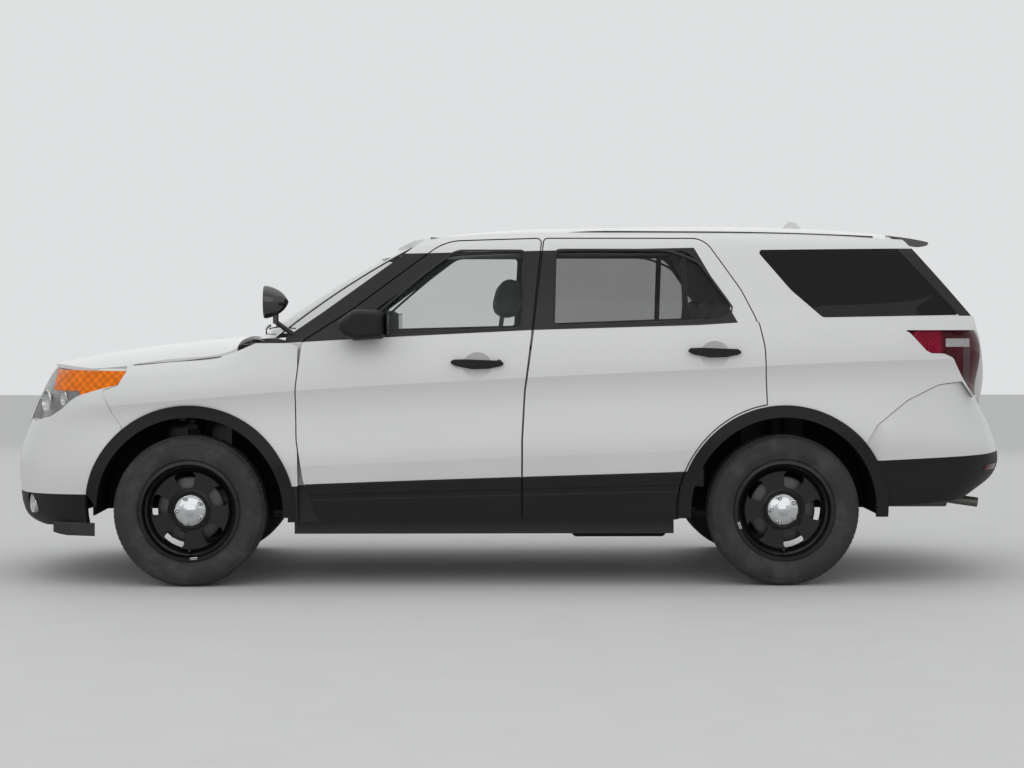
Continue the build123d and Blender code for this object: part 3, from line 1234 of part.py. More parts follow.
def exhaust():
    """Exhaust pipe under the floor, parting to a silencer and a tailpipe on each side."""
    rear = REAR_AXLE_X
    points = [(1240, -220, 262), (rear + 426, -220, 262), (rear + 246, -220, 306), (rear - 254, -220, 330),
              (rear - 454, 0, 400)]
    pieces = [rod_between(a, b, 27) for a, b in zip(points, points[1:])]
    pieces += [Solid.make_sphere(27).moved(Location(p)) for p in points[1:]]
    for s in (-1, 1):
        elbow = (rear - 544, s * 420, 420)
        pieces += [rod_between(points[-1], elbow, 24),
                   Solid.make_sphere(24).moved(Location(elbow)),
                   rod_between(elbow, (rear - 594, s * 456, 420), 24),
                   rod_between((rear - 574, s * 470, 422), (rear - 874, s * 470, 422), 80),
                   rod_between((rear - 864, s * 470, 388), (rear - 1034, s * 485, 364), 24)]
    return biggest(joined(*pieces))


def fuel_tank():
    """Fuel tank under the rear seat."""
    tank = block(aft(-770), aft(-300), -120, 560, 200, FLOOR_Z - 2)
    return tank.fillet(24, tank.edges())


def spotlight():
    """Round lamp on the left windscreen pillar."""
    x, y, z = 1133, 900, 1367
    outline = [Vector(x + u, y, z + v) for u, v in ((57, 72), (50, 79), (17, 70), (-33, 38), (-55, 0))]
    section = Wire([Edge.make_line((x + 57, y, z), outline[0]), Edge.make_line(outline[0], outline[1]),
                    Edge.make_spline(outline[1:]), Edge.make_line(outline[-1], (x + 57, y, z))])
    head = Solid.revolve(Face(section), 360, Axis((x, y, z), (1, 0, 0)))
    neck = rod_between((x + 7, y, z - 57), (x + 7, y, z - 105), 14)
    arm = rod_between((x + 7, y, z - 95), (1046, 838, 1200), 12)
    lamp = joined(head, neck, arm)
    return biggest(minus(lamp, fender_slab(826, 1), upper_slab(-1, PILLAR_DEPTH), side_slab(BODY_INNER_Y, 1)))


def roof_antenna():
    """Fin on the roof's rear centre."""
    fin = side_prism(stretched([(-1540, 1720, 0), (-1490, 1782, 30), (-1450, 1790, 20), (-1380, 1720, 0)]),
                     -16, 16)
    return biggest(minus(fin, roof_space(0, FIT)))


def quarter_glass():
    """Left rear side pane in its recess."""
    return common(upper_slab(1.5, 7.6), side_prism(grown(QUARTER_WINDOW, -FIT), 560, 1100))


def write_pair(name, left):
    """Writes a left-hand node and its mirror image."""
    write(f"{name}_left", left)
    write(f"{name}_right", mirrored(left))


def write_doors():
    """Writes the shells, panes and trim of the four doors."""
    for name, outline, rear, window, handle in (
            ("front_door", FRONT_DOOR, False, FRONT_WINDOW, (172, 1071)),
            ("rear_door", REAR_DOOR, True, REAR_WINDOW, (aft(-965), 1126))):
        write_pair(name, door_shell(outline, rear, window, *handle))
        write_pair(f"{name}_glass", door_glass(window, rear))
        write_pair(f"{name}_trim", door_trim(outline, rear, *handle))


def write_wheels():
    """Writes the four wheels and their tyres."""
    for end, axle, turn in (("front", FRONT_AXLE_X, 0), ("rear", REAR_AXLE_X, 46)):
        write_pair(f"{end}_wheel", wheel(axle, HALF_TRACK, turn))
        write_pair(f"{end}_tyre", tyre(axle, HALF_TRACK))


if __name__ == "__main__":
    write_pair("body_side", body_side())
    write_pair("front_fender", front_fender())
    write_doors()
    write_pair("mirror", mirror_unit())
    for name, piece in zip(("front_bumper", "front_valance", "grille", "headlamps"), front_end()):
        write(name, piece)
    for name, piece in zip(("rear_bumper", "rear_valance", "tail_lamps"), rear_end()):
        write(name, piece)
    write("quarter_glass", both_sides(quarter_glass()))
    for build in (roof_panel, hood, windshield, liftgate, liftgate_glass, rear_spoiler, wheel_liners,
                  floor_pan,
                  cowl_panel, dashboard, front_seats, rear_seat, steering_wheel, engine, exhaust, fuel_tank,
                  spotlight, roof_antenna, front_suspension, rear_suspension):
        write(build.__name__, build())
    write("wheel_arch_mouldings", arch_mouldings())
    write_pair("front_knuckle", front_knuckle())
    write_wheels()
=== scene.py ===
"""Visual model of a white police sport utility vehicle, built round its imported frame."""

import json
import logging
import math
import time
from collections.abc import Callable, Iterable, Sequence
from dataclasses import dataclass
from enum import Enum

import bmesh
import bpy
from mathutils import Matrix, Vector


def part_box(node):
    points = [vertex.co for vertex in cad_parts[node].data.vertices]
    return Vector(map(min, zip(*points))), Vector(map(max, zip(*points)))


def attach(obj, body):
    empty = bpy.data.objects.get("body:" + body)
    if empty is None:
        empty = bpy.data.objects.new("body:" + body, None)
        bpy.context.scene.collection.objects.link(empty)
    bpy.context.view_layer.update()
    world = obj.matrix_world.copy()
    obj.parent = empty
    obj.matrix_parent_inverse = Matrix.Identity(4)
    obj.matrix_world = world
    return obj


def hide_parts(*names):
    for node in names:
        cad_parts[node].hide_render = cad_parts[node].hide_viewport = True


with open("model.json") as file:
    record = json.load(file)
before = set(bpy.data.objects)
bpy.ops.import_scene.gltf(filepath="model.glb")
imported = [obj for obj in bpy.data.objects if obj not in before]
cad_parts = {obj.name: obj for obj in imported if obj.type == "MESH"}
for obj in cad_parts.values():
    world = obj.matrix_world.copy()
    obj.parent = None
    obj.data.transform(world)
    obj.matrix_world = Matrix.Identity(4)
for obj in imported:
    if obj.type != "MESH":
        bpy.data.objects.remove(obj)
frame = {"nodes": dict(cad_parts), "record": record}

LOG = logging.getLogger("vehicle")
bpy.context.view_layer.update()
Point = tuple[float, float, float]


class Side(Enum):
    """Side of the vehicle, with the sign of its Y."""

    LEFT = 1
    RIGHT = -1

    @property
    def word(self) -> str:
        """Name used in node and body names."""
        return self.name.lower()


# ---------------------------------------------------------------- shader maths
class Sock:
    """Output socket or plain number that builds Math nodes when used in an expression."""

    def __init__(self, tree: "Shader", value: "bpy.types.NodeSocket | float") -> None:
        """Wrap a socket.

        Args:
            tree: Shader that owns the nodes.
            value: Output socket, or a number.
        """
        self.tree = tree
        self.value = value

    def _math(self, operation: str, *others: "Sock | float") -> "Sock":
        """Result of one Math node on this socket and others."""
        return self.tree.node("ShaderNodeMath", {"operation": operation}, dict(enumerate((self, *others))))

    def __add__(self, other: "Sock | float") -> "Sock":
        """Sum."""
        return self._math("ADD", other)

    __radd__ = __add__

    def __mul__(self, other: "Sock | float") -> "Sock":
        """Product."""
        return self._math("MULTIPLY", other)

    __rmul__ = __mul__

    def __sub__(self, other: "Sock | float") -> "Sock":
        """Difference."""
        return self._math("SUBTRACT", other)

    def __rsub__(self, other: float) -> "Sock":
        """Difference from a number."""
        return self._math("MULTIPLY", -1.0) + other

    def __truediv__(self, other: "Sock | float") -> "Sock":
        """Quotient."""
        return self._math("DIVIDE", other)

    def __pow__(self, other: float) -> "Sock":
        """Power."""
        return self._math("POWER", other)

    def __gt__(self, other: "Sock | float") -> "Sock":
        """One where this is more than the other."""
        return self._math("GREATER_THAN", other)

    def __lt__(self, other: "Sock | float") -> "Sock":
        """One where this is less than the other."""
        return self._math("LESS_THAN", other)

    def most(self, other: "Sock | float") -> "Sock":
        """Larger of two."""
        return self._math("MAXIMUM", other)

    def size(self) -> "Sock":
        """Absolute value."""
        return self._math("ABSOLUTE")

    def wave(self) -> "Sock":
        """Sine."""
        return self._math("SINE")

    def ramp(self, low: float, high: float) -> "Sock":
        """Smooth step from 0 at low to 1 at high."""
        return self.tree.node(
            "ShaderNodeMapRange",
            {"interpolation_type": "SMOOTHSTEP"},
            {"Value": self, "From Min": low, "From Max": high, "To Min": 0.0, "To Max": 1.0},
        )


class Shader:
    """One material under construction."""

    def __init__(self, name: str) -> None:
        """Start a material with an empty node tree.

        Args:
            name: Material name.
        """
        self.material = bpy.data.materials.new(name)
        self.material.use_nodes = True
        self.nodes = self.material.node_tree.nodes
        self.links = self.material.node_tree.links
        self.nodes.clear()
        self.principled = self.nodes.new("ShaderNodeBsdfPrincipled")
        self.output = self.nodes.new("ShaderNodeOutputMaterial")
        self.links.new(self.principled.outputs["BSDF"], self.output.inputs["Surface"])

    @classmethod
    def reopen(cls, material: bpy.types.Material) -> "Shader":
        """Take up a finished material to add to it.

        Args:
            material: Material made by this class.

        Returns:
            The shader.
        """
        shader = cls.__new__(cls)
        shader.material = material
        shader.nodes = material.node_tree.nodes
        shader.links = material.node_tree.links
        shader.principled = next(n for n in shader.nodes if n.type == "BSDF_PRINCIPLED")
        shader.output = next(n for n in shader.nodes if n.type == "OUTPUT_MATERIAL")
        return shader

    def node(
        self, kind: str, settings: dict[str, object], values: dict[object, object], out: "int | str" = 0
    ) -> Sock:
        """Add a node.

        Args:
            kind: Node type.
            settings: Node attributes, set first; "stops" fills a colour ramp.
            values: Input socket name or index to a Sock, a number or a colour.
            out: Output socket name or index.

        Returns:
            The chosen output.
        """
        made = self.nodes.new(kind)
        for key, value in settings.items():
            if key == "stops":
                ramp = made.color_ramp
                while len(ramp.elements) < len(value):
                    ramp.elements.new(0.5)
                for element, (place, shade) in zip(ramp.elements, value):
                    element.position = place
                    element.color = (*shade, 1.0) if len(shade) == 3 else shade
            else:
                setattr(made, key, value)
        for key, value in values.items():
            self.feed(made.inputs[key], value)
        return Sock(self, made.outputs[out])

    def feed(self, socket: bpy.types.NodeSocket, value: object) -> None:
        """Set or link one input.

        Args:
            socket: Input socket.
            value: Sock, number or colour.
        """
        if isinstance(value, Sock):
            value = value.value
        if isinstance(value, bpy.types.NodeSocket):
            self.links.new(value, socket)
        elif isinstance(value, (tuple, list)) and socket.type == "RGBA" and len(value) == 3:
            socket.default_value = (*value, 1.0)
        else:
            socket.default_value = value

    def set(self, **values: object) -> "Shader":
        """Set Principled inputs; underscores stand for spaces."""
        for key, value in values.items():
            self.feed(self.principled.inputs[key.replace("_", " ")], value)
        return self

    def place(self, scale: Point = (1.0, 1.0, 1.0)) -> Sock:
        """Object coordinates, scaled."""
        coordinate = self.node("ShaderNodeTexCoord", {}, {}, "Object")
        if scale == (1.0, 1.0, 1.0):
            return coordinate
        return self.node("ShaderNodeMapping", {}, {"Vector": coordinate, "Scale": scale})

    def axes(self) -> tuple[Sock, Sock, Sock]:
        """Object coordinates as three numbers."""
        split = self.nodes.new("ShaderNodeSeparateXYZ")
        self.links.new(self.place().value, split.inputs[0])
        return tuple(Sock(self, split.outputs[i]) for i in range(3))

    def noise(self, scale: float, detail: float = 3.0, rough: float = 0.55,
              stretch: Point = (1.0, 1.0, 1.0)) -> Sock:
        """Noise on Object coordinates.

        Args:
            scale: Cells per metre.
            detail: Octaves.
            rough: Octave falloff.
            stretch: Coordinate scale.

        Returns:
            Value from 0 to 1.
        """
        return self.node(
            "ShaderNodeTexNoise", {},
            {"Vector": self.place(stretch), "Scale": scale, "Detail": detail, "Roughness": rough}
        )

    def cells(self, scale: float, out: str = "Distance") -> Sock:
        """Voronoi cells on Object coordinates."""
        return self.node("ShaderNodeTexVoronoi", {}, {"Vector": self.place(), "Scale": scale}, out)

    def blend(self, share: "Sock | float", low: object, high: object) -> Sock:
        """Colour mix from low to high."""
        mix = self.nodes.new("ShaderNodeMix")
        mix.data_type = "RGBA"
        self.feed(mix.inputs[0], share)
        self.feed(mix.inputs[6], low)
        self.feed(mix.inputs[7], high)
        return Sock(self, mix.outputs[2])

    def bump(self, height: Sock, depth: float, strength: float = 1.0) -> Sock:
        """Normal from a height of the given depth in metres."""
        return self.node("ShaderNodeBump", {}, {"Height": height, "Distance": depth, "Strength": strength},
                         "Normal")


Colour = tuple[float, float, float]


@dataclass(frozen=True)
class Lacquer:
    """Car paint or gloss-painted metal with a clear coat and light road dust low down."""

    name: str
    colour: Colour
    rough: float = 0.36
    coat: float = 0.45
    dust: float = 0.10
    shine: float = 0.5

    def make(self) -> bpy.types.Material:
        """Build the material.

        Returns:
            The material.
        """
        sh = Shader(self.name)
        _, _, z = sh.axes()
        cloud = sh.noise(1.7, 4.0)
        low = (1.0 - z.ramp(0.25, 0.95)) * cloud.ramp(0.35, 0.75) * self.dust
        deep = tuple(c * 0.97 for c in self.colour)
        base = sh.blend(cloud, self.colour, deep)
        sh.set(
            Base_Color=sh.blend(low, base, (0.34, 0.31, 0.27)),
            Roughness=low * 0.5 + sh.noise(60.0, 2.0) * 0.04 + self.rough,
            Normal=sh.bump(sh.noise(420.0, 2.0), 0.00003, 0.25),
            Specular_IOR_Level=self.shine,
            Coat_Weight=self.coat,
            Coat_Roughness=0.10,
        )
        return sh.material


@dataclass(frozen=True)
class Moulded:
    """Moulded plastic with a fine grain."""

    name: str
    colour: Colour
    rough: float = 0.5
    grain: float = 900.0
    depth: float = 0.00006
    worn: float = 0.12
    shine: float = 0.5

    def make(self) -> bpy.types.Material:
        """Build the material.

        Returns:
            The material.
        """
        sh = Shader(self.name)
        patch = sh.noise(3.0, 4.0)
        grain = sh.cells(self.grain)
        pale = tuple(min(1.0, c * 1.6 + 0.012) for c in self.colour)
        sh.set(
            Base_Color=sh.blend(patch.ramp(0.4, 0.8) * self.worn * 3.0, self.colour, pale),
            Roughness=patch * self.worn + self.rough - 0.05,
            Normal=sh.bump(grain, self.depth, 0.5),
            Specular_IOR_Level=self.shine,
        )
        return sh.material


@dataclass(frozen=True)
class Metal:
    """Bare or plated metal."""

    name: str
    colour: Colour
    rough: float = 0.15
    streak: Point = (1.0, 1.0, 1.0)
    grain: float = 120.0
    depth: float = 0.00002

    def make(self) -> bpy.types.Material:
        """Build the material.

        Returns:
            The material.
        """
        sh = Shader(self.name)
        grain = sh.noise(self.grain, 4.0, 0.6, self.streak)
        dull = tuple(c * 0.82 for c in self.colour)
        sh.set(
            Base_Color=sh.blend(grain, self.colour, dull),
            Metallic=1.0,
            Roughness=grain * 0.12 + self.rough,
            Normal=sh.bump(grain, self.depth, 0.4),
        )
        return sh.material


@dataclass(frozen=True)
class Glazing:
    """Window glass; tint is how much it hides."""

    name: str
    colour: Colour
    tint: float
    rough: float = 0.02
    gloss: float = 1.0

    def make(self) -> bpy.types.Material:
        """Build the material.

        Returns:
            The material.
        """
        sh = Shader(self.name)
        film = sh.noise(2.4, 3.0)
        sh.set(
            Base_Color=self.colour,
            Roughness=film * 0.03 + self.rough,
            Alpha=film * 0.04 + self.tint,
            IOR=1.5,
            Specular_IOR_Level=0.5 * self.gloss,
            Coat_Weight=self.gloss,
            Coat_Roughness=0.02,
        )
        return sh.material


@dataclass(frozen=True)
class Windscreen(Glazing):
    """Glass with a black printed border at its sides, top and foot."""

    side: tuple[float, float, float] = (0.690, 1.180, -0.2524)
    foot: float = 1.205
    head: float = 1.588

    def make(self) -> bpy.types.Material:
        """Build the material.

        Returns:
            The material.
        """
        sh = Shader(self.name)
        film = sh.noise(2.4, 3.0)
        _, y, z = sh.axes()
        reach, level, slope = self.side
        edge = (y.size() > (z - level) * slope + reach).most(z < self.foot).most(z > self.head)
        sh.set(
            Base_Color=sh.blend(edge, self.colour, (0.006, 0.006, 0.006)),
            Roughness=film * 0.03 + edge * 0.10 + self.rough,
            Alpha=(film * 0.04 + self.tint).most(edge),
            Specular_IOR_Level=0.2,
            Coat_Weight=0.1,
            Coat_Roughness=0.02,
        )
        return sh.material


@dataclass(frozen=True)
class Lens:
    """Coloured lamp plastic with fine prisms behind the surface."""

    name: str
    colour: Colour
    alpha: float = 1.0
    pitch: float = 240.0
    glow: float = 0.0

    def make(self) -> bpy.types.Material:
        """Build the material.

        Returns:
            The material.
        """
        sh = Shader(self.name)
        x, _, z = sh.axes()
        ribs = (x * self.pitch * 2.2).wave() * (z * self.pitch * 2.2).wave()
        prism = (ribs * 0.25 + sh.noise(self.pitch * 0.35, 3.0, 0.6)).ramp(0.30, 0.85)
        deep = tuple(c * 0.62 for c in self.colour)
        sh.set(
            Base_Color=sh.blend(prism, deep, self.colour),
            Roughness=prism * 0.08 + 0.08,
            Normal=sh.bump(prism, 0.0004, 0.35),
            Alpha=self.alpha,
            Specular_IOR_Level=0.12,
            Coat_Weight=0.12,
            Coat_Roughness=0.03,
        )
        if self.glow:
            sh.set(Emission_Color=self.colour, Emission_Strength=self.glow)
        return sh.material


@dataclass(frozen=True)
class TailLens(Lens):
    """Red lens that darkens towards the back, with a smoky upright band."""

    deep_x: float = -2.075
    band: tuple[float, float] = (-2.232, -2.192)

    def make(self) -> bpy.types.Material:
        """Build the material.

        Returns:
            The material.
        """
        material = super().make()
        sh = Shader.reopen(material)
        x, _, z = sh.axes()
        base = sh.principled.inputs["Base Color"]
        deep = 1.0 - x.ramp(self.deep_x - 0.015, self.deep_x + 0.015)
        smoky = (x > self.band[0]) * (x < self.band[1]) * (z < 1.154) * (z > 0.966)
        red = sh.blend(deep, base.links[0].from_socket, (0.060, 0.002, 0.006))
        sh.feed(base, sh.blend(smoky, red, (0.085, 0.050, 0.055)))
        return material


@dataclass(frozen=True)
class Rubber:
    """Tyre or seal rubber with dust in its pores."""

    name: str
    colour: Colour = (0.020, 0.020, 0.021)
    rough: float = 0.72
    dust: float = 0.35

    def make(self) -> bpy.types.Material:
        """Build the material.

        Returns:
            The material.
        """
        sh = Shader(self.name)
        patch = sh.noise(9.0, 5.0, 0.65)
        pore = sh.noise(700.0, 2.0)
        sh.set(
            Base_Color=sh.blend(patch.ramp(0.42, 0.8) * self.dust, self.colour, (0.12, 0.115, 0.105)),
            Roughness=patch * 0.15 + self.rough - 0.06,
            Normal=sh.bump(pore + patch * 0.6, 0.00018, 0.5),
        )
        return sh.material


@dataclass(frozen=True)
class Cloth:
    """Woven seat cloth."""

    name: str
    colour: Colour
    pitch: float = 620.0

    def make(self) -> bpy.types.Material:
        """Build the material.

        Returns:
            The material.
        """
        sh = Shader(self.name)
        x, y, z = sh.axes()
        warp = ((x + z) * self.pitch * 3.1416).wave()
        weft = ((y + z * 0.5) * self.pitch * 3.1416).wave()
        weave = (warp * weft).ramp(-1.0, 1.0)
        fade = sh.noise(6.0, 3.0)
        pale = tuple(c * 1.9 + 0.01 for c in self.colour)
        sh.set(
            Base_Color=sh.blend(weave * 0.6 + fade * 0.3, self.colour, pale),
            Roughness=0.85,
            Sheen_Weight=0.3,
            Sheen_Roughness=0.5,
            Normal=sh.bump(weave + fade * 0.4, 0.0005, 0.6),
        )
        return sh.material


WHITE: Colour = (0.665, 0.670, 0.662)


@dataclass(frozen=True)
class SidePaint(Lacquer):
    """Body paint that turns black in the band of pillars and window frames."""

    belt: tuple[tuple[float, float], ...] = (
        (-2.25, 1.303), (-1.481, 1.292), (-0.896, 1.255), (-0.081, 1.231), (0.542, 1.200), (1.10, 1.169))
    top: tuple[float, float] = (1.6143, -0.0205)
    rear: tuple[float, float, float, float] = (-0.888, 1.63, -1.075, 1.289)
    corner: tuple[float, float, float, float] = (-1.885, 1.630, -2.176, 1.304)
    skirt: tuple[float, float, float, float] = (1.104, 0.483, -0.834, 0.555)

    def make(self) -> bpy.types.Material:
        """Build the material.

        Returns:
            The material.
        """
        material = super().make()
        sh = Shader.reopen(material)
        x, _, z = sh.axes()
        above = z > self.belt_height(sh, x)
        under = z < x * self.top[1] + self.top[0]
        x0, z0, x1, z1 = self.rear
        ahead = x > (z - z1) * ((x0 - x1) / (z0 - z1)) + x1
        x0, z0, x1, z1 = self.corner
        behind = (x < (z - z1) * ((x0 - x1) / (z0 - z1)) + x1 + 0.004) * (z > z1 - 0.004) * (z < z0)
        x0, z0, x1, z1 = self.skirt
        low = (z < (x - x1) * ((z0 - z1) / (x0 - x1)) + z1 - 0.002) * (x < 1.20) * (x > -1.0)
        black = (above * under * ahead).most(behind).most(low)
        base = sh.principled.inputs["Base Color"]
        sh.feed(base, sh.blend(black, base.links[0].from_socket, (0.008, 0.008, 0.008)))
        sh.set(Coat_Weight=(1.0 - black * 0.75) * self.coat, Specular_IOR_Level=0.35)
        return material

    def belt_height(self, sh: Shader, x: Sock) -> Sock:
        """Height of the belt line at x, in straight runs.

        Args:
            sh: Shader that owns the nodes; not used.
            x: Position along the vehicle.

        Returns:
            Height in metres.
        """
        result = None
        for (xa, za), (xb, zb) in zip(self.belt, self.belt[1:]):
            run = (x - xa) * ((zb - za) / (xb - xa)) + za
            inside = (x > xa) * (x < xb)
            part = run * inside
            result = part if result is None else result + part
        return result + (x < self.belt[0][0]) * self.belt[0][1] + (x > self.belt[-1][0]) * self.belt[-1][1]


FINISHES = {
    "paint": Lacquer("white_paint", WHITE, coat=0.25, shine=0.3),
    "side_paint": SidePaint("white_side_paint", WHITE, coat=0.30),
    "black_trim": Moulded("black_grained_trim", (0.007, 0.007, 0.0072), 0.6, worn=0.08, shine=0.28),
    "gloss_black": Lacquer("gloss_black", (0.010, 0.010, 0.011), 0.25, 0.8, 0.04),
    "glass": Glazing("clear_glass", (0.05, 0.07, 0.06), 0.11, gloss=0.6),
    "windscreen": Windscreen("windscreen_glass", (0.05, 0.07, 0.06), 0.14),
    "liner": Moulded("arch_liner", (0.007, 0.007, 0.007), 0.8, 160.0, 0.0004, 0.05, 0.15),
    "privacy_glass": Glazing("tinted_glass", (0.004, 0.004, 0.004), 0.88, gloss=0.25),
    "rear_door_glass": Glazing("grey_glass", (0.012, 0.012, 0.012), 0.29, gloss=0.4),
    "lamp_lens": Glazing("lamp_lens", (0.6, 0.6, 0.6), 0.16),
    "red_lens": Lens("red_lens", (0.30, 0.001, 0.026)),
    "floor_metal": Moulded("floor_coating", (0.03, 0.03, 0.032), 0.7, 300.0, 0.0002),
    "cabin_plastic": Moulded("cabin_plastic", (0.028, 0.028, 0.030), 0.55, 700.0, 0.0001),
    "seat_fabric": Cloth("seat_cloth", (0.025, 0.026, 0.028)),
    "engine_metal": Metal("cast_alloy", (0.42, 0.42, 0.43), 0.45, grain=260.0, depth=0.0002),
    "exhaust_steel": Metal("exhaust_steel", (0.17, 0.16, 0.15), 0.42, grain=30.0),
    "chassis_iron": Moulded("chassis_coating", (0.010, 0.010, 0.0105), 0.6, 240.0, 0.0003, 0.20, 0.3),
    "wheel_black": Lacquer("wheel_black", (0.004, 0.004, 0.0042), 0.30, 0.30, 0.02, 0.25),
    "tyre": Rubber("tyre_rubber"),
    "chrome": Metal("chrome_plate", (0.62, 0.63, 0.64), 0.08),
    # Brake disc steel: real dark steel, darkened further as painted shade of the wheel's inside behind the
    # openings.
    "brake_steel": Metal("brake_steel", (0.10, 0.098, 0.096), 0.38, grain=90.0),
    "zinc": Metal("zinc_weight", (0.60, 0.61, 0.62), 0.32),
    "satin_metal": Metal("satin_metal", (0.50, 0.50, 0.51), 0.30),
    "mirror": Metal("mirror_glass", (0.30, 0.31, 0.32), 0.03),
    "rubber_trim": Rubber("seal_rubber", (0.014, 0.014, 0.015), 0.55, 0.10),
    "black_satin": Moulded("satin_black", (0.010, 0.010, 0.011), 0.36, 1200.0, 0.00002, 0.06, 0.35),
    "amber_lens": Lens("amber_lens", (0.95, 0.21, 0.004), 0.98, 70.0),
    "tail_lens": TailLens("tail_lens", (0.30, 0.001, 0.028), 0.97, 110.0),
    "clear_prisms": Lens("clear_prisms", (0.80, 0.80, 0.80), 0.62),
    "bezel": Lacquer("lamp_bezel", (0.016, 0.016, 0.017), 0.28, 0.6, 0.0),
    "bulb_glass": Glazing("bulb_glass", (0.75, 0.75, 0.72), 0.45),
    "headliner_cloth": Cloth("headliner_cloth", (0.20, 0.195, 0.185)),
    "grip": Moulded("grip_leather", (0.018, 0.018, 0.019), 0.5, 420.0, 0.0002, 0.10),
    "screen": Lacquer("display_glass", (0.010, 0.011, 0.013), 0.10, 1.0, 0.0),
    "seat_vinyl": Moulded("seat_vinyl", (0.026, 0.026, 0.028), 0.48, 520.0, 0.0002, 0.10),
}

MATERIALS = {name: finish.make() for name, finish in FINISHES.items()}


# ---------------------------------------------------------------- modelling
class Kind(Enum):
    """Mesh element that an operator works on."""

    VERT = "VERT"
    EDGE = "EDGE"
    FACE = "FACE"


Test = Callable[[Vector, Vector], bool]


def everything(_centre: Vector, _normal: Vector) -> bool:
    """Test that passes for every element."""
    return True


def rest_all() -> None:
    """Leave edit mode and deselect every object."""
    active = bpy.context.view_layer.objects.active
    if active is not None and active.mode != "OBJECT":
        bpy.ops.object.mode_set(mode="OBJECT")
    bpy.ops.object.select_all(action="DESELECT")


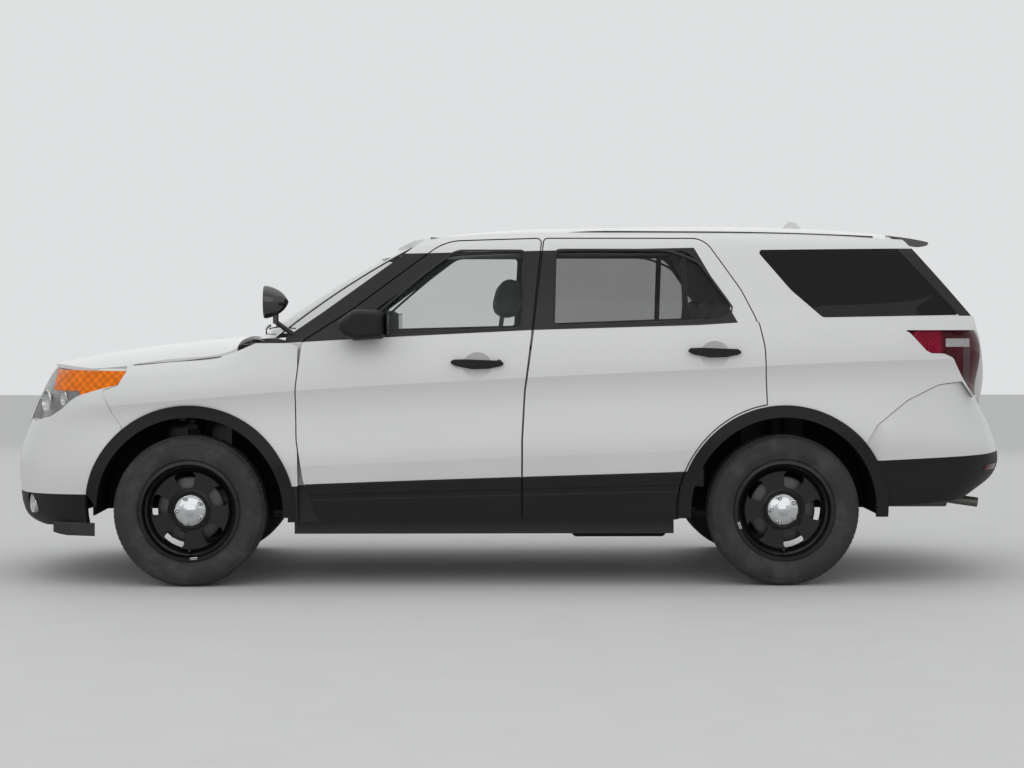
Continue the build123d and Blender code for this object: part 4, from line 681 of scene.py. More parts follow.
class Clay:
    """One piece being modelled, from a primitive to a finished mesh."""

    def __init__(self, name: str, thing: bpy.types.Object) -> None:
        """Take over an object.

        Args:
            name: Piece name.
            thing: Mesh object that the piece is made from.
        """
        thing.name = name
        thing.data.name = name
        self.thing = thing

    # -------------------------------------------------------- starts
    @classmethod
    def cube(cls, name: str, low: Point, high: Point) -> "Clay":
        """Box between two corners."""
        rest_all()
        centre = [(a + b) / 2 for a, b in zip(low, high)]
        bpy.ops.mesh.primitive_cube_add(size=1.0, location=centre, scale=[b - a for a, b in zip(low, high)])
        bpy.ops.object.transform_apply(location=True, rotation=True, scale=True)
        return cls(name, bpy.context.active_object)

    @classmethod
    def rod(cls, name: str, start: Point, end: Point, radius: float, sides: int = 32,
            tip: float = -1.0) -> "Clay":
        """Cylinder or cone between two points.

        Args:
            name: Piece name.
            start: Middle of the first end.
            end: Middle of the second end.
            radius: Radius at the first end.
            sides: Number of sides.
            tip: Radius at the second end; the same as the first if negative.

        Returns:
            The piece.
        """
        rest_all()
        a, b = Vector(start), Vector(end)
        turn = (b - a).to_track_quat("Z", "Y").to_euler()
        bpy.ops.mesh.primitive_cone_add(vertices=sides, radius1=radius, radius2=radius if tip < 0 else tip,
                                        depth=(b - a).length, location=(a + b) / 2, rotation=turn)
        bpy.ops.object.transform_apply(location=True, rotation=True, scale=True)
        return cls(name, bpy.context.active_object)

    @classmethod
    def grid(cls, name: str, centre: Point, size: tuple[float, float], cells: tuple[int, int]) -> "Clay":
        """Flat grid across the vehicle, of the given width and height."""
        rest_all()
        bpy.ops.mesh.primitive_grid_add(x_subdivisions=cells[0], y_subdivisions=cells[1], size=1.0,
                                        location=centre, rotation=(math.pi / 2, 0.0, math.pi / 2))
        bpy.context.active_object.scale = (size[0], size[1], 1.0)
        bpy.ops.object.transform_apply(location=True, rotation=True, scale=True)
        return cls(name, bpy.context.active_object)

    @classmethod
    def ball(cls, name: str, centre: Point, size: Point, segments: int = 32) -> "Clay":
        """Ellipsoid of the given radii."""
        rest_all()
        bpy.ops.mesh.primitive_uv_sphere_add(segments=segments, ring_count=segments // 2, radius=1.0,
                                             location=centre, scale=size)
        bpy.ops.object.transform_apply(location=True, rotation=True, scale=True)
        return cls(name, bpy.context.active_object)

    @classmethod
    def turned(cls, name: str, outline: Sequence[tuple[float, float]], centre: Point, axis: Point,
               steps: int = 96) -> "Clay":
        """Profile of (radius, distance along the axis) extruded point by point, then spun full circle.

        Args:
            name: Piece name.
            outline: Profile points.
            centre: Origin of the profile.
            axis: Axis of the spin.
            steps: Steps round the circle.

        Returns:
            The piece.
        """
        rest_all()
        along = Vector(axis).normalized()
        side = along.orthogonal().normalized()
        spots = [Vector(centre) + side * r + along * d for r, d in outline]
        bpy.ops.mesh.primitive_plane_add(size=0.01, location=spots[0])
        bpy.ops.object.transform_apply(location=True, rotation=True, scale=True)
        piece = cls(name, bpy.context.active_object)
        bpy.ops.object.mode_set(mode="EDIT")
        bpy.ops.mesh.select_mode(type="VERT")
        bpy.ops.mesh.select_all(action="SELECT")
        bpy.ops.mesh.merge(type="CENTER")
        for before, after in zip(spots, spots[1:]):
            bpy.ops.mesh.extrude_vertices_move(TRANSFORM_OT_translate={"value": after - before})
        bpy.ops.mesh.select_all(action="SELECT")
        bpy.ops.mesh.spin(steps=steps, angle=2 * math.pi, center=centre, axis=along)
        bpy.ops.mesh.select_all(action="SELECT")
        bpy.ops.mesh.remove_doubles(threshold=0.00002)
        bpy.ops.mesh.normals_make_consistent(inside=False)
        bpy.ops.object.mode_set(mode="OBJECT")
        return piece

    @classmethod
    def strip(cls, name: str, path: Sequence[Point], width: float, height: float, closed: bool = False,
              sides: int = 4) -> "Clay":
        """Bar of even section swept along a smooth path.

        Args:
            name: Piece name.
            path: Points of the path.
            width: Size of the section across.
            height: Size of the section in height.
            closed: Whether the path closes on itself.
            sides: Roundness of the section.

        Returns:
            The piece.
        """
        rest_all()
        bpy.ops.curve.primitive_nurbs_path_add(radius=1.0, location=(0.0, 0.0, 0.0))
        thing = bpy.context.active_object
        curve = thing.data
        spline = curve.splines[0]
        spline.points.add(len(path) - len(spline.points)) if len(path) > len(spline.points) else None
        if len(path) < len(spline.points):
            curve.splines.remove(spline)
            spline = curve.splines.new("NURBS")
            spline.points.add(len(path) - 1)
        for spot, place in zip(spline.points, path):
            spot.co = (*place, 1.0)
        spline.order_u = 3
        spline.use_endpoint_u = not closed
        spline.use_cyclic_u = closed
        spline.resolution_u = 6
        curve.dimensions = "3D"
        curve.twist_mode = "Z_UP"
        curve.bevel_depth = height / 2
        curve.bevel_resolution = sides
        curve.extrude = max(0.0, (width - height) / 2)
        curve.use_fill_caps = True
        bpy.ops.object.convert(target="MESH")
        piece = cls(name, bpy.context.active_object)
        return piece.weld(0.00001)

    @classmethod
    def cast(cls, name: str, node: str) -> "Clay":
        """Merged copy of a CAD node's mesh."""
        rest_all()
        source = frame["nodes"][node]
        thing = bpy.data.objects.new(name, source.data.copy())
        thing.data.materials.clear()
        bpy.context.collection.objects.link(thing)
        return cls(name, thing).weld(0.00002)

    # -------------------------------------------------------- edit mode
    def _enter(self, kind: Kind = Kind.FACE) -> bmesh.types.BMesh:
        """Enter edit mode with nothing selected.

        Args:
            kind: Element type that will be selected.

        Returns:
            The edit mesh.
        """
        rest_all()
        self.thing.select_set(True)
        bpy.context.view_layer.objects.active = self.thing
        bpy.ops.object.mode_set(mode="EDIT")
        bpy.ops.mesh.select_mode(type=kind.value)
        bpy.ops.mesh.select_all(action="DESELECT")
        return bmesh.from_edit_mesh(self.thing.data)

    def _leave(self) -> "Clay":
        """Leave edit mode."""
        bpy.ops.object.mode_set(mode="OBJECT")
        return self

    def pick(self, test: Test, kind: Kind = Kind.FACE) -> int:
        """Enter edit mode and select by place and normal.

        Args:
            test: Takes an element's centre and normal.
            kind: Element type.

        Returns:
            How many were selected.
        """
        mesh = self._enter(kind)
        count = 0
        if kind is Kind.FACE:
            for face in mesh.faces:
                if test(face.calc_center_median(), face.normal):
                    face.select_set(True)
                    count += 1
        elif kind is Kind.EDGE:
            for edge in mesh.edges:
                a, b = (v.co for v in edge.verts)
                if test((a + b) / 2, (b - a).normalized() if (b - a).length > 0 else Vector((0, 0, 1))):
                    edge.select_set(True)
                    count += 1
        else:
            for vert in mesh.verts:
                if test(vert.co, vert.normal):
                    vert.select_set(True)
                    count += 1
        bmesh.update_edit_mesh(self.thing.data)
        return count

    def inset(self, test: Test, width: float, depth: float = 0.0, each: bool = False) -> "Clay":
        """Inset the faces that pass the test.

        Args:
            test: Face test.
            width: Width of the inset.
            depth: How far the inner faces rise.
            each: Whether each face is inset by itself.

        Returns:
            The piece.
        """
        if self.pick(test):
            bpy.ops.mesh.inset(thickness=width, depth=depth, use_individual=each)
        return self._leave()

    def extrude(self, test: Test, move: Point, shrink: float = 1.0) -> "Clay":
        """Extrude the faces that pass the test, then scale them about their middle.

        Args:
            test: Face test.
            move: How far they go.
            shrink: Scale of the extruded faces.

        Returns:
            The piece.
        """
        if self.pick(test):
            bpy.ops.mesh.extrude_region_move(TRANSFORM_OT_translate={"value": move})
            if shrink != 1.0:
                mesh = bmesh.from_edit_mesh(self.thing.data)
                spots = [v.co.copy() for v in mesh.verts if v.select]
                middle = sum(spots, Vector()) / len(spots)
                bpy.ops.transform.resize(value=(shrink,) * 3, center_override=middle)
        return self._leave()

    def fatten(self, test: Test, amount: float) -> "Clay":
        """Push the faces that pass the test along their normals."""
        if self.pick(test):
            bpy.ops.transform.shrink_fatten(value=amount)
        return self._leave()

    def drop(self, test: Test) -> "Clay":
        """Delete the faces that pass the test."""
        if self.pick(test):
            bpy.ops.mesh.delete(type="FACE")
        return self._leave()

    def cut(self, place: Point, normal: Point, clear: bool = True, fill: bool = False) -> "Clay":
        """Bisect by a plane, clearing what lies on the side the normal points to.

        Args:
            place: Point on the plane.
            normal: Normal of the plane.
            clear: Whether that side is removed.
            fill: Whether the cut is filled.

        Returns:
            The piece.
        """
        self._enter()
        bpy.ops.mesh.select_all(action="SELECT")
        bpy.ops.mesh.bisect(plane_co=place, plane_no=normal, clear_outer=clear, use_fill=fill)
        return self._leave()

    def bevel(self, width: float, segments: int = 2, test: "Test | None" = None) -> "Clay":
        """Bevel the edges that pass the test, or every sharp edge.

        Args:
            width: Width of the bevel.
            segments: Number of segments.
            test: Edge test on middle and direction.

        Returns:
            The piece.
        """
        if test is None:
            self._enter(Kind.EDGE)
            bpy.ops.mesh.edges_select_sharp(sharpness=math.radians(28))
        else:
            self.pick(test, Kind.EDGE)
        bpy.ops.mesh.bevel(offset=width, segments=segments, affect="EDGES", clamp_overlap=True)
        return self._leave()

    def divide(self, cuts: int, smooth: float = 0.0) -> "Clay":
        """Subdivide everything."""
        self._enter()
        bpy.ops.mesh.select_all(action="SELECT")
        bpy.ops.mesh.subdivide(number_cuts=cuts, smoothness=smooth)
        return self._leave()

    def weld(self, reach: float = 0.00005) -> "Clay":
        """Merge doubled vertices and recalculate normals."""
        self._enter(Kind.VERT)
        bpy.ops.mesh.select_all(action="SELECT")
        bpy.ops.mesh.remove_doubles(threshold=reach)
        bpy.ops.mesh.normals_make_consistent(inside=False)
        return self._leave()

    def shape(self, rule: Callable[[Vector], Vector]) -> "Clay":
        """Move every vertex to where a rule says."""
        mesh = self._enter(Kind.VERT)
        for vert in mesh.verts:
            vert.co = rule(vert.co.copy())
        bmesh.update_edit_mesh(self.thing.data)
        return self._leave()

    def modify(self, kind: str, **settings: object) -> "Clay":
        """Add a modifier and apply it."""
        rest_all()
        self.thing.select_set(True)
        bpy.context.view_layer.objects.active = self.thing
        modifier = self.thing.modifiers.new(kind.lower(), kind)
        for key, value in settings.items():
            setattr(modifier, key, value)
        bpy.ops.object.modifier_apply(modifier=modifier.name)
        return self

    def thick(self, depth: float, offset: float = -1.0) -> "Clay":
        """Give a sheet thickness."""
        return self.modify("SOLIDIFY", thickness=depth, offset=offset, use_even_offset=True)

    # -------------------------------------------------------- copies and finish
    def copy(self, name: str, matrix: Matrix) -> "Clay":
        """Copy with its own mesh, moved by a matrix.

        Args:
            name: Name of the copy.
            matrix: Where the copy goes.

        Returns:
            The copy.
        """
        rest_all()
        thing = bpy.data.objects.new(name, self.thing.data.copy())
        thing.data.transform(matrix)
        bpy.context.collection.objects.link(thing)
        twin = Clay(name, thing)
        return twin.flip() if matrix.determinant() < 0 else twin

    def flip(self) -> "Clay":
        """Turn the normals round, after mirroring."""
        self._enter()
        bpy.ops.mesh.select_all(action="SELECT")
        bpy.ops.mesh.flip_normals()
        return self._leave()

    def twin(self, name: str) -> "Clay":
        """Mirror image on the other side of the vehicle."""
        return self.copy(name, Matrix.Scale(-1.0, 4, (0.0, 1.0, 0.0)))

    def join(self, *others: "Clay") -> "Clay":
        """Take other pieces into this one."""
        rest_all()
        for other in others:
            other.thing.select_set(True)
        self.thing.select_set(True)
        bpy.context.view_layer.objects.active = self.thing
        bpy.ops.object.join()
        return self

    def done(self, finish: str, body: str, slot: str, smooth: float = 32.0) -> "Clay":
        """Shade, dress and attach the piece.

        Args:
            finish: Finish name.
            body: Body it rides on.
            slot: Material slot of the record; not used.
            smooth: Smoothing angle in degrees; 0 for flat.

        Returns:
            The piece.
        """
        rest_all()
        self.thing.select_set(True)
        bpy.context.view_layer.objects.active = self.thing
        if smooth > 0:
            bpy.ops.object.shade_smooth_by_angle(angle=math.radians(smooth))
        self.thing.data.materials.clear()
        self.thing.data.materials.append(MATERIALS[finish])
        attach(self.thing, body)
        LOG.info("%s: %d faces on %s", self.thing.name, len(self.thing.data.polygons), body)
        return self


def about_y(angle: float, x: float, z: float) -> Matrix:
    """Turn about a line along Y through (x, z)."""
    return Matrix.Translation((x, 0.0, z)) @ Matrix.Rotation(angle, 4, "Y") @ Matrix.Translation((-x, 0.0, -z))


# ---------------------------------------------------------------- sub-assemblies
def touch(nodes: Iterable[str], start: Point, aim: Point) -> "Vector | None":
    """First point that a ray meets on some CAD nodes.

    Args:
        nodes: CAD nodes to test.
        start: Start of the ray.
        aim: Direction of the ray.

    Returns:
        The nearest point, or None.
    """
    best = None
    for node in nodes:
        hit, place, _normal, _face = frame["nodes"][node].ray_cast(Vector(start), Vector(aim).normalized())
        if hit and (best is None or (place - Vector(start)).length < (best - Vector(start)).length):
            best = place
    return best


def on_side(nodes: Iterable[str], outline: Iterable[tuple[float, float]], lift: float) -> list[Point]:
    """Points of a side-view outline laid on the left side's surface.

    Args:
        nodes: CAD nodes that make the surface.
        outline: Points (x, z).
        lift: Height over the surface.

    Returns:
        Points on the surface.
    """
    spots = []
    for x, z in outline:
        hit = touch(nodes, (x, 2.0, z), (0.0, -1.0, 0.0))
        if hit is not None:
            spots.append((x, hit.y + lift, z))
    return spots


def rounded(corners: Sequence[tuple[float, float, float]], arc: int = 4) -> list[tuple[float, float]]:
    """Points round an outline whose corners have radii.

    Args:
        corners: Corner places and radii.
        arc: Points at each corner.

    Returns:
        The points, in order.
    """
    spots = []
    count = len(corners)
    for i, (x, z, radius) in enumerate(corners):
        here = Vector((x, z))
        before = (Vector(corners[i - 1][:2]) - here)
        after = (Vector(corners[(i + 1) % count][:2]) - here)
        reach = min(radius * 1.2, 0.45 * before.length, 0.45 * after.length)
        a, b = here + before.normalized() * reach, here + after.normalized() * reach
        for k in range(arc + 1):
            t = k / arc
            spots.append(tuple(a * (1 - t) ** 2 + here * (2 * t * (1 - t)) + b * t * t))
    return spots


def spread(path: Sequence[tuple[float, float]], step: float) -> list[tuple[float, float]]:
    """Closed outline with no gap longer than a step."""
    full = []
    for a, b in zip(path, [*path[1:], path[0]]):
        gap = math.dist(a, b)
        pieces = max(1, math.ceil(gap / step))
        full += [(a[0] + (b[0] - a[0]) * k / pieces, a[1] + (b[1] - a[1]) * k / pieces) for k in range(pieces)]
    return full


@dataclass
class Tyres:
    """Tyres with ribs, grooves and tread blocks on all four wheels."""

    track: float = 0.851
    height: float = 0.363
    axles: tuple[tuple[str, float], ...] = (("front", 1.554), ("rear", -1.306))
    rib: float = 0.3576
    groove: float = 0.3495
    steps: int = 84
    wall: tuple[tuple[float, float], ...] = (
        (0.231, 0.0985), (0.243, 0.0995), (0.2465, 0.106), (0.252, 0.1122), (0.262, 0.1168), (0.2715, 0.1190),
        (0.2735, 0.1204), (0.2775, 0.1206), (0.280, 0.1212), (0.292, 0.1224), (0.304, 0.1216), (0.318, 0.1188),
        (0.3195, 0.1198), (0.3225, 0.1190), (0.330, 0.1146), (0.338, 0.1098), (0.346, 0.1052), (0.3525, 0.0985))

    def outline(self) -> list[tuple[float, float]]:
        """Half section from bead to bead, by way of the tread.

        Returns:
            Points (radius, offset).
        """
        half = list(self.wall) + [(self.rib, 0.087)]
        for outer, inner in ((0.067, 0.056), (0.027, 0.016)):
            half += [(self.rib, outer), (self.groove, outer - 0.002), (self.groove, inner + 0.002),
                     (self.rib, inner)]
        return half + [(r, -d) for r, d in half[::-1]]

    def carcass(self) -> Clay:
        """One tyre at the origin, axis along Y.

        Returns:
            The tyre.
        """
        piece = Clay.turned("tyre_master", self.outline(), (0.0, 0.0, 0.0), (0.0, 1.0, 0.0), self.steps)

        def on_rib(centre: Vector, normal: Vector) -> bool:
            """Whether a face lies on a tread rib."""
            return math.hypot(centre.x, centre.z) > 0.3545 and abs(normal.y) < 0.2 and abs(centre.y) < 0.084

        piece.inset(on_rib, 0.0022, 0.0052, each=True)

        def on_shoulder(centre: Vector, normal: Vector) -> bool:
            """Whether a face lies on the shoulder."""
            return 0.341 < math.hypot(centre.x, centre.z) < 0.3556 and abs(centre.y) > 0.09

        return piece.inset(on_shoulder, 0.0025, 0.0018, each=True)

    def build(self) -> None:
        """Make and place the four tyres."""
        master = self.carcass()
        for end, x in self.axles:
            for side in Side:
                turn = Matrix.Rotation(math.pi if side is Side.RIGHT else 0.0, 4, "Z")
                spin = Matrix.Rotation(0.3 if end == "rear" else 0.0, 4, "Y")
                place = Matrix.Translation((x, side.value * self.track, self.height)) @ turn @ spin
                piece = master.copy(f"{end}_tread_{side.word}", place)
                piece.done("tyre", f"{end}_wheel_{side.word}_body", "tyre", 40.0)
                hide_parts(f"{end}_tyre_{side.word}")
        bpy.data.objects.remove(master.thing)


@dataclass
class WheelDress:
    """Plated centre cap with lug covers, brake disc face, valve and balance weight of each wheel."""

    track: float = 0.851
    height: float = 0.363
    axles: tuple[tuple[str, float], ...] = (("front", 1.554), ("rear", -1.306))
    cap: tuple[tuple[float, float], ...] = (
        (0.0, 0.0795), (0.020, 0.0792), (0.0215, 0.0780), (0.040, 0.0768), (0.056, 0.0735), (0.070, 0.0672),
        (0.080, 0.0585), (0.0865, 0.0500), (0.0885, 0.0450), (0.0885, 0.0415), (0.0855, 0.0405))
    lug_ring: float = 0.0585

    def masters(self) -> dict[str, Clay]:
        """Pieces of one wheel at the origin, outer face to +Y.

        Returns:
            Pieces by name.
        """
        up = (0.0, 1.0, 0.0)
        cap = Clay.turned("cap_master", self.cap, (0.0, 0.0, 0.0), up, 64)
        lugs = []
        for i in range(5):
            angle = math.radians(72 * i + 18)
            x, z = self.lug_ring * math.sin(angle), self.lug_ring * math.cos(angle)
            ring = Clay.turned(f"lug_{i}", [(0.0, 0.0815), (0.007, 0.0812), (0.0092, 0.0790), (0.0105, 0.0740),
                                            (0.0150, 0.0722), (0.0170, 0.0680)], (x, 0.0, z), up, 24)
            lugs.append(ring)
        cap.join(*lugs)
        disc = Clay.turned("disc_master", [(0.092, 0.0085), (0.156, 0.0085), (0.158, 0.0100), (0.156, 0.0115),
                                           (0.092, 0.0115), (0.092, 0.0085)], (0.0, 0.0, 0.0), up, 64)
        valve = Clay.rod("valve_master", (0.0, 0.052, -0.196), (0.0, 0.082, -0.190), 0.0042, 16)
        valve.extrude(lambda c, n: n.y > 0.9, (0.0, 0.004, 0.0), 1.25)
        weight = Clay.cube("weight_master", (-0.018, 0.1035, -0.2335), (0.018, 0.1085, -0.2215))
        weight.divide(3).shape(lambda v: Vector((v.x, v.y, v.z + v.x * v.x * 2.0))).bevel(0.0015, 2)
        return {"centre_cap": cap, "brake_face": disc, "valve": valve, "balance_weight": weight}

    def build(self) -> None:
        """Place the pieces on the four wheels."""
        # The brake face's steel is darkened as painted shade inside the wheel.
        looks = {"centre_cap": ("chrome", "wheel_black"), "brake_face": ("brake_steel", "chassis_iron"),
                 "valve": ("rubber_trim", "black_trim"), "balance_weight": ("zinc", "engine_metal")}
        for name, master in self.masters().items():
            finish, slot = looks[name]
            for end, x in self.axles:
                for side in Side:
                    turn = Matrix.Rotation(math.pi if side is Side.RIGHT else 0.0, 4, "Z")
                    angle = {"front": 0.1, "rear": -1.25}[end] if name == "balance_weight" else 0.0
                    spin = Matrix.Rotation(angle, 4, "Y")
                    place = Matrix.Translation((x, side.value * self.track, self.height)) @ turn @ spin
                    piece = master.copy(f"{end}_{name}_{side.word}", place)
                    piece.done(finish, f"{end}_wheel_{side.word}_body", slot, 40.0)
            bpy.data.objects.remove(master.thing)


@dataclass
class HeadLamps:
    """Headlamp lenses with their amber strip, bezel, bowls and bulbs."""

    amber_back: float = 2.235
    step_x: float = 2.088
    step_z: float = 0.938

    def lens(self, name: str) -> Clay:
        """Outer faces of the lamp nodes.

        Args:
            name: Piece name.

        Returns:
            An open sheet for both sides.
        """
        piece = Clay.cast(name, "headlamps")

        def hidden(centre: Vector, normal: Vector) -> bool:
            """Whether a face isn't on the outside."""
            out = Vector((0.75, math.copysign(0.66, centre.y), 0.10)).normalized()
            return normal.dot(out) < 0.45

        return piece.drop(hidden)

    def is_amber(self, centre: Vector) -> bool:
        """Whether a point belongs to the amber strip."""
        return centre.x < self.amber_back and (centre.x < self.step_x or centre.z > self.step_z)

    def build(self) -> None:
        """Make both lamps."""
        cover = self.lens("headlamp_lenses")
        for place, normal in (((self.amber_back, 0, 0), (1, 0, 0)), ((self.step_x, 0, 0), (1, 0, 0)),
                              ((0, 0, self.step_z), (0, 0, 1))):
            cover.cut(place, normal, clear=False)
        amber = cover.copy("turn_signal_lenses", Matrix.Identity(4))
        back = cover.copy("headlamp_bezels", Matrix.Identity(4))
        amber.drop(lambda c, n: not self.is_amber(c)).thick(0.004)
        cover.drop(lambda c, n: self.is_amber(c)).thick(0.0025)
        back.drop(lambda c, n: self.is_amber(c))
        back.shape(lambda v: v - Vector((0.030, math.copysign(0.020, v.y), 0.0))).thick(0.002)
        cover.done("lamp_lens", "body", "lamp_lens", 40.0)
        amber.done("amber_lens", "body", "lamp_lens", 40.0)
        back.done("bezel", "body", "gloss_black", 30.0)
        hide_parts("headlamps")
        for side in Side:
            for i, (x, y, z, r) in enumerate(((2.262, 0.700, 0.880, 0.052), (2.168, 0.790, 0.898, 0.036))):
                centre = Vector((x, side.value * y, z))
                axis = Vector((0.86, side.value * 0.5, 0.0)).normalized()
                bowl = Clay.turned(
                    f"headlamp_bowl_{side.word}_{i}",
                    [(0.0, -0.6 * r), (0.45 * r, -0.5 * r), (0.8 * r, -0.15 * r), (0.97 * r, 0.25 * r),
                     (r, 0.36 * r), (1.08 * r, 0.36 * r), (1.08 * r, 0.2 * r)],
                    tuple(centre), tuple(axis), 40)
                bowl.done("chrome", "body", "lamp_lens", 50.0)
                bulb = Clay.ball(f"headlamp_bulb_{side.word}_{i}", tuple(centre + axis * 0.1 * r),
                                 (0.3 * r, 0.3 * r, 0.3 * r), 20)
                bulb.done("bulb_glass", "body", "lamp_lens", 60.0)


@dataclass
class TailLamps:
    """Rear lamp lenses with a clear reversing strip, and their housings."""

    strip: tuple[float, float, float, float] = (-2.228, -2.097, 1.150, 1.190)

    def build(self) -> None:
        """Make the rear lamps."""
        low_x, high_x, low_z, high_z = self.strip
        cover = Clay.cast("tail_lamp_lenses", "tail_lamps")

        def hidden(centre: Vector, normal: Vector) -> bool:
            """Whether a face isn't on the outside."""
            out = Vector((-0.62, math.copysign(0.78, centre.y), 0.0)).normalized()
            return normal.dot(out) < 0.4

        back = cover.copy("tail_lamp_housings", Matrix.Identity(4))
        cover.drop(hidden)
        back.fatten(lambda c, n: not hidden(c, n), -0.012)
        clear = cover.copy("reversing_lenses", Matrix.Identity(4))
        for place, normal in (((low_x, 0, 0), (-1, 0, 0)), ((high_x, 0, 0), (1, 0, 0)),
                              ((0, 0, low_z), (0, 0, -1)), ((0, 0, high_z), (0, 0, 1))):
            clear.cut(place, normal)
        clear.fatten(everything, 0.0012).thick(0.003)
        cover.thick(0.003)
        cover.done("tail_lens", "body", "red_lens", 40.0)
        back.done("bezel", "body", "gloss_black", 30.0)
        clear.done("clear_prisms", "body", "lamp_lens", 40.0)
        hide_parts("tail_lamps")


@dataclass
class SideTrim:
    """Window seals, roof strips and key locks of both sides."""

    front_window: tuple[tuple[float, float, float], ...] = (
        (-0.038, 1.244, 0.014), (0.676, 1.225, 0.024), (0.664, 1.330, 0.04), (0.300, 1.598, 0.15),
        (0.262, 1.612, 0.06), (-0.054, 1.612, 0.018))
    rear_window: tuple[tuple[float, float, float], ...] = (
        (-0.202, 1.255, 0.014), (-1.012, 1.286, 0.05), (-1.066, 1.332, 0.05), (-0.862, 1.616, 0.09),
        (-0.216, 1.616, 0.02))
    roof_seam: tuple[tuple[float, float], ...] = (
        (0.40, 0.655), (0.10, 0.658), (-0.30, 0.6625), (-0.70, 0.660), (-1.10, 0.6555), (-1.50, 0.6475),
        (-1.78, 0.6385))

    def seal(self, name: str, nodes: Sequence[str], outline: Sequence[tuple[float, float, float]],
             body: str) -> None:
        """Rubber seal round a window, on both sides.

        Args:
            name: Piece name without its side.
            nodes: CAD nodes under it on the left.
            outline: Window outline.
            body: Body name without its side, or "body".
        """
        middle_x = sum(c[0] for c in outline) / len(outline)
        middle_z = sum(c[1] for c in outline) / len(outline)
        wide = [(x + math.copysign(0.005, x - middle_x), z + math.copysign(0.005, z - middle_z), r)
                for x, z, r in outline]
        path = on_side(nodes, spread(rounded(wide), 0.09), 0.0005)
        left = Clay.strip(f"{name}_left", path, 0.012, 0.004, closed=True, sides=2)
        right = left.twin(f"{name}_right")
        for piece, side in ((left, Side.LEFT), (right, Side.RIGHT)):
            piece.done("rubber_trim", "body" if body == "body" else f"{body}_{side.word}_body", "black_trim",
                       45.0)

    def build(self) -> None:
        """Make the strips."""
        self.seal("front_window_seal", ("front_door_left",), self.front_window, "front_door")
        self.seal("rear_window_seal", ("rear_door_left",), self.rear_window, "rear_door")
        path = []
        for x, y in self.roof_seam:
            hit = touch(("roof_panel", "body_side_left"), (x, y + 0.0015, 3.0), (0.0, 0.0, -1.0))
            path.append((x, y + 0.0015, hit.z + 0.0005))
        left = Clay.strip("roof_strip_left", path, 0.016, 0.005, sides=2)
        left.done("rubber_trim", "body", "black_trim", 45.0)
        left.twin("roof_strip_right").done("rubber_trim", "body", "black_trim", 45.0)
        for side in Side:
            hit = touch(("front_door_left",), (0.067, 2.0, 1.079), (0.0, -1.0, 0.0))
            lock = Clay.turned(f"door_lock_{side.word}",
                               [(0.0, 0.0022), (0.0075, 0.0022), (0.0088, 0.0035), (0.0112, 0.0032),
                                (0.0122, 0.0)],
                               (0.067, side.value * hit.y, 1.079), (0.0, side.value, 0.0), 28)
            lock.done("rubber_trim", f"front_door_{side.word}_body", "black_trim", 45.0)


@dataclass
class Mirrors:
    """Silvered glass of both outside mirrors."""

    low: Point = (0.0, 0.979, 1.213)
    high: Point = (0.0012, 1.117, 1.307)
    back_x: float = 0.6112
    lean: float = -0.1216

    def build(self) -> None:
        """Make both glasses."""
        glass = Clay.cube("mirror_glass_left", self.low, self.high)
        glass.bevel(0.012, 4, lambda c, d: abs(d.x) > 0.9)
        glass.shape(lambda v: Vector((v.x + self.back_x - 0.002 + self.lean * (v.y - 0.974), v.y, v.z)))
        right = glass.twin("mirror_glass_right")
        glass.done("mirror", "front_door_left_body", "black_trim", 20.0)
        right.done("mirror", "front_door_right_body", "black_trim", 20.0)


@dataclass
class Wipers:
    """Two windscreen wipers, whose pivots clear the open hood's rear edge."""

    pivot_x: float = 1.266

    def on_glass(self, y: float, z: float, lift: float) -> Point:
        """Point just ahead of the windscreen."""
        hit = touch(("windshield",), (2.2, y, z), (-1.0, 0.0, 0.0))
        return (hit.x + lift * 0.55, y, z + lift * 0.84)

    def build(self) -> None:
        """Make two front wipers."""
        for name, y0, y1, pivot in (("left", 0.06, 0.66, 0.02), ("right", -0.62, -0.08, -0.66)):
            path = [self.on_glass(y0 + (y1 - y0) * k / 6, 1.222 + 0.016 * k / 6, 0.010) for k in range(7)]
            blade = Clay.strip(f"wiper_blade_{name}", path, 0.007, 0.007, sides=2)
            blade.done("rubber_trim", "body", "black_trim", 45.0)
            middle = self.on_glass((y0 + y1) / 2, 1.230, 0.024)
            arm_path = [(self.pivot_x, pivot, 1.164), (self.pivot_x - 0.012, pivot + 0.02, 1.182),
                        self.on_glass(pivot + (middle[1] - pivot) * 0.5, 1.216, 0.030), middle]
            arm = Clay.strip(f"wiper_arm_{name}", arm_path, 0.014, 0.006, sides=2)
            arm.done("black_satin", "body", "black_trim", 45.0)
            cap = Clay.rod(f"wiper_pivot_{name}", (self.pivot_x, pivot, 1.148), (self.pivot_x, pivot, 1.174),
                           0.016, 24, 0.012)
            cap.bevel(0.003, 2).done("black_satin", "body", "black_trim", 40.0)


@dataclass
class Spotlight:
    """Lens and rim of the pillar lamp."""

    centre: Point = (1.190, 0.900, 1.367)
    radius: float = 0.077

    def build(self) -> None:
        """Make the lens and rim."""
        r = self.radius
        rim = Clay.turned("spotlight_rim", [(r * 0.93, -0.012), (r * 1.0, -0.012), (r * 1.03, -0.006),
                                            (r * 1.03, 0.002), (r * 0.99, 0.006), (r * 0.93, 0.006),
                                            (r * 0.93, -0.012)], self.centre, (1.0, 0.0, 0.0), 56)
        rim.done("gloss_black", "body", "gloss_black", 50.0)
        lens = Clay.turned("spotlight_lens", [(0.0, 0.008), (r * 0.4, 0.0072), (r * 0.75, 0.0045),
                                              (r * 0.94, 0.001)],
                           self.centre, (1.0, 0.0, 0.0), 48)
        lens.thick(0.002).done("clear_prisms", "body", "lamp_lens", 50.0)


